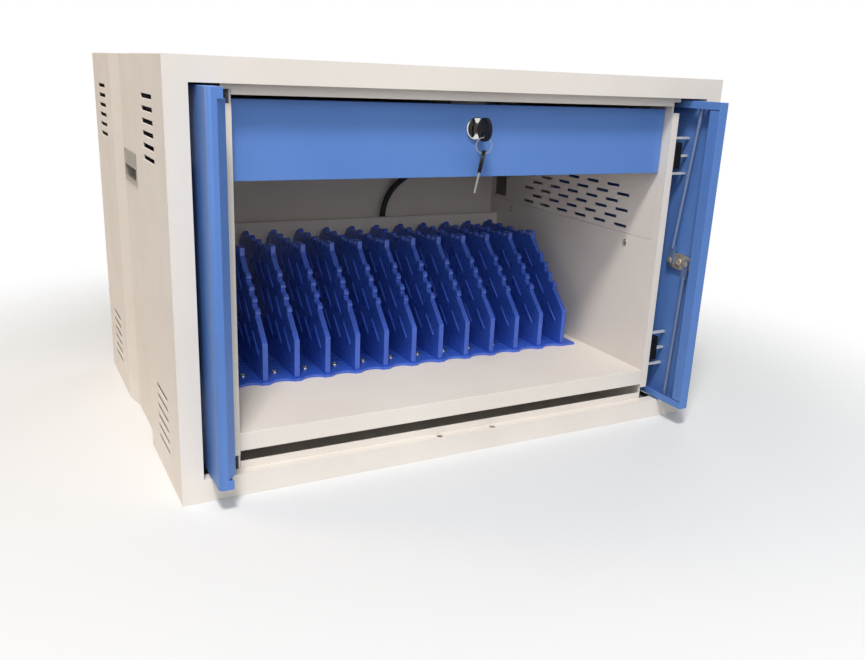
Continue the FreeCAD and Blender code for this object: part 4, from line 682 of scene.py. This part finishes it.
def floor_finish():
    """A matt pale floor that turns clear with the distance from the middle."""
    material = bpy.data.materials.new("studio_floor")
    material.use_nodes = True
    tree = material.node_tree
    shader = tree.nodes["Principled BSDF"]
    shader.inputs["Base Color"].default_value = FLOOR_COLOUR
    shader.inputs["Roughness"].default_value = FLOOR_ROUGHNESS
    shader.inputs["Specular IOR Level"].default_value = FLOOR_SPECULAR
    clear = tree.nodes.new("ShaderNodeBsdfTransparent")
    mix = tree.nodes.new("ShaderNodeMixShader")
    place = tree.nodes.new("ShaderNodeTexCoord")
    length = tree.nodes.new("ShaderNodeVectorMath")
    length.operation = "LENGTH"
    fade = tree.nodes.new("ShaderNodeMapRange")
    fade.interpolation_type = "SMOOTHSTEP"
    fade.inputs["From Min"].default_value = FLOOR_FADE_START
    fade.inputs["From Max"].default_value = FLOOR_FADE_END
    tree.links.new(place.outputs["Object"], length.inputs[0])
    tree.links.new(length.outputs["Value"], fade.inputs["Value"])
    tree.links.new(fade.outputs["Result"], mix.inputs[0])
    tree.links.new(shader.outputs[0], mix.inputs[1])
    tree.links.new(clear.outputs[0], mix.inputs[2])
    tree.links.new(mix.outputs[0], tree.nodes["Material Output"].inputs["Surface"])
    return material


def floor():
    """A round floor just under the cabinet, which fades into the white backdrop. A point lies at its
    share of the reach, in the direction of its angle."""
    shares = np.linspace(0.0, 1.0, FLOOR_RINGS)[:, None]
    angles = np.linspace(0, FULL_TURN, FLOOR_SIDES, endpoint=False)[None, :]
    x = FLOOR_REACH * shares * np.cos(angles)
    y = FLOOR_REACH * shares * np.sin(angles)
    points = np.stack((x, y, np.full_like(x, -FLOOR_DROP)), -1).reshape(-1, 3)
    faces = grid_faces(FLOOR_RINGS, FLOOR_SIDES, True)
    mesh = bpy.data.meshes.new("studio_floor")
    mesh.from_pydata(points.tolist(), [], faces[:, ::-1].tolist())
    mesh.materials.append(floor_finish())
    item = bpy.data.objects.new("studio_floor", mesh)
    bpy.context.scene.collection.objects.link(item)


def backdrop():
    """A white backdrop to the eye, in reflections and through glass, and an even dim light otherwise."""
    world = bpy.data.worlds.new("backdrop")
    world.use_nodes = True
    tree = world.node_tree
    even = tree.nodes["Background"]
    even.inputs["Color"].default_value = AMBIENT_COLOUR
    even.inputs["Strength"].default_value = AMBIENT_STRENGTH
    white = tree.nodes.new("ShaderNodeBackground")
    white.inputs["Color"].default_value = WHITE
    white.inputs["Strength"].default_value = 1.0
    rays = tree.nodes.new("ShaderNodeLightPath")
    shown = tree.nodes.new("ShaderNodeMath")
    shown.operation = "MAXIMUM"
    seen = tree.nodes.new("ShaderNodeMath")
    seen.operation = "MAXIMUM"
    mix = tree.nodes.new("ShaderNodeMixShader")
    tree.links.new(rays.outputs["Is Camera Ray"], shown.inputs[0])
    tree.links.new(rays.outputs["Is Glossy Ray"], shown.inputs[1])
    tree.links.new(shown.outputs[0], seen.inputs[0])
    tree.links.new(rays.outputs["Is Transmission Ray"], seen.inputs[1])
    tree.links.new(seen.outputs[0], mix.inputs[0])
    tree.links.new(even.outputs[0], mix.inputs[1])
    tree.links.new(white.outputs[0], mix.inputs[2])
    tree.links.new(mix.outputs[0], tree.nodes["World Output"].inputs["Surface"])
    bpy.context.scene.world = world


def studio():
    """The camera, the floor, the backdrop and the soft boxes."""
    camera()
    floor()
    backdrop()
    for row in LAMPS:
        lamp(*row)
    bpy.context.scene.view_settings.view_transform = "Standard"


paint_nodes()
round_edges()
wall_screws()
base_screws()
back_screws()
crank_fastenings()
divider_ribs()
power_cable()
studio()
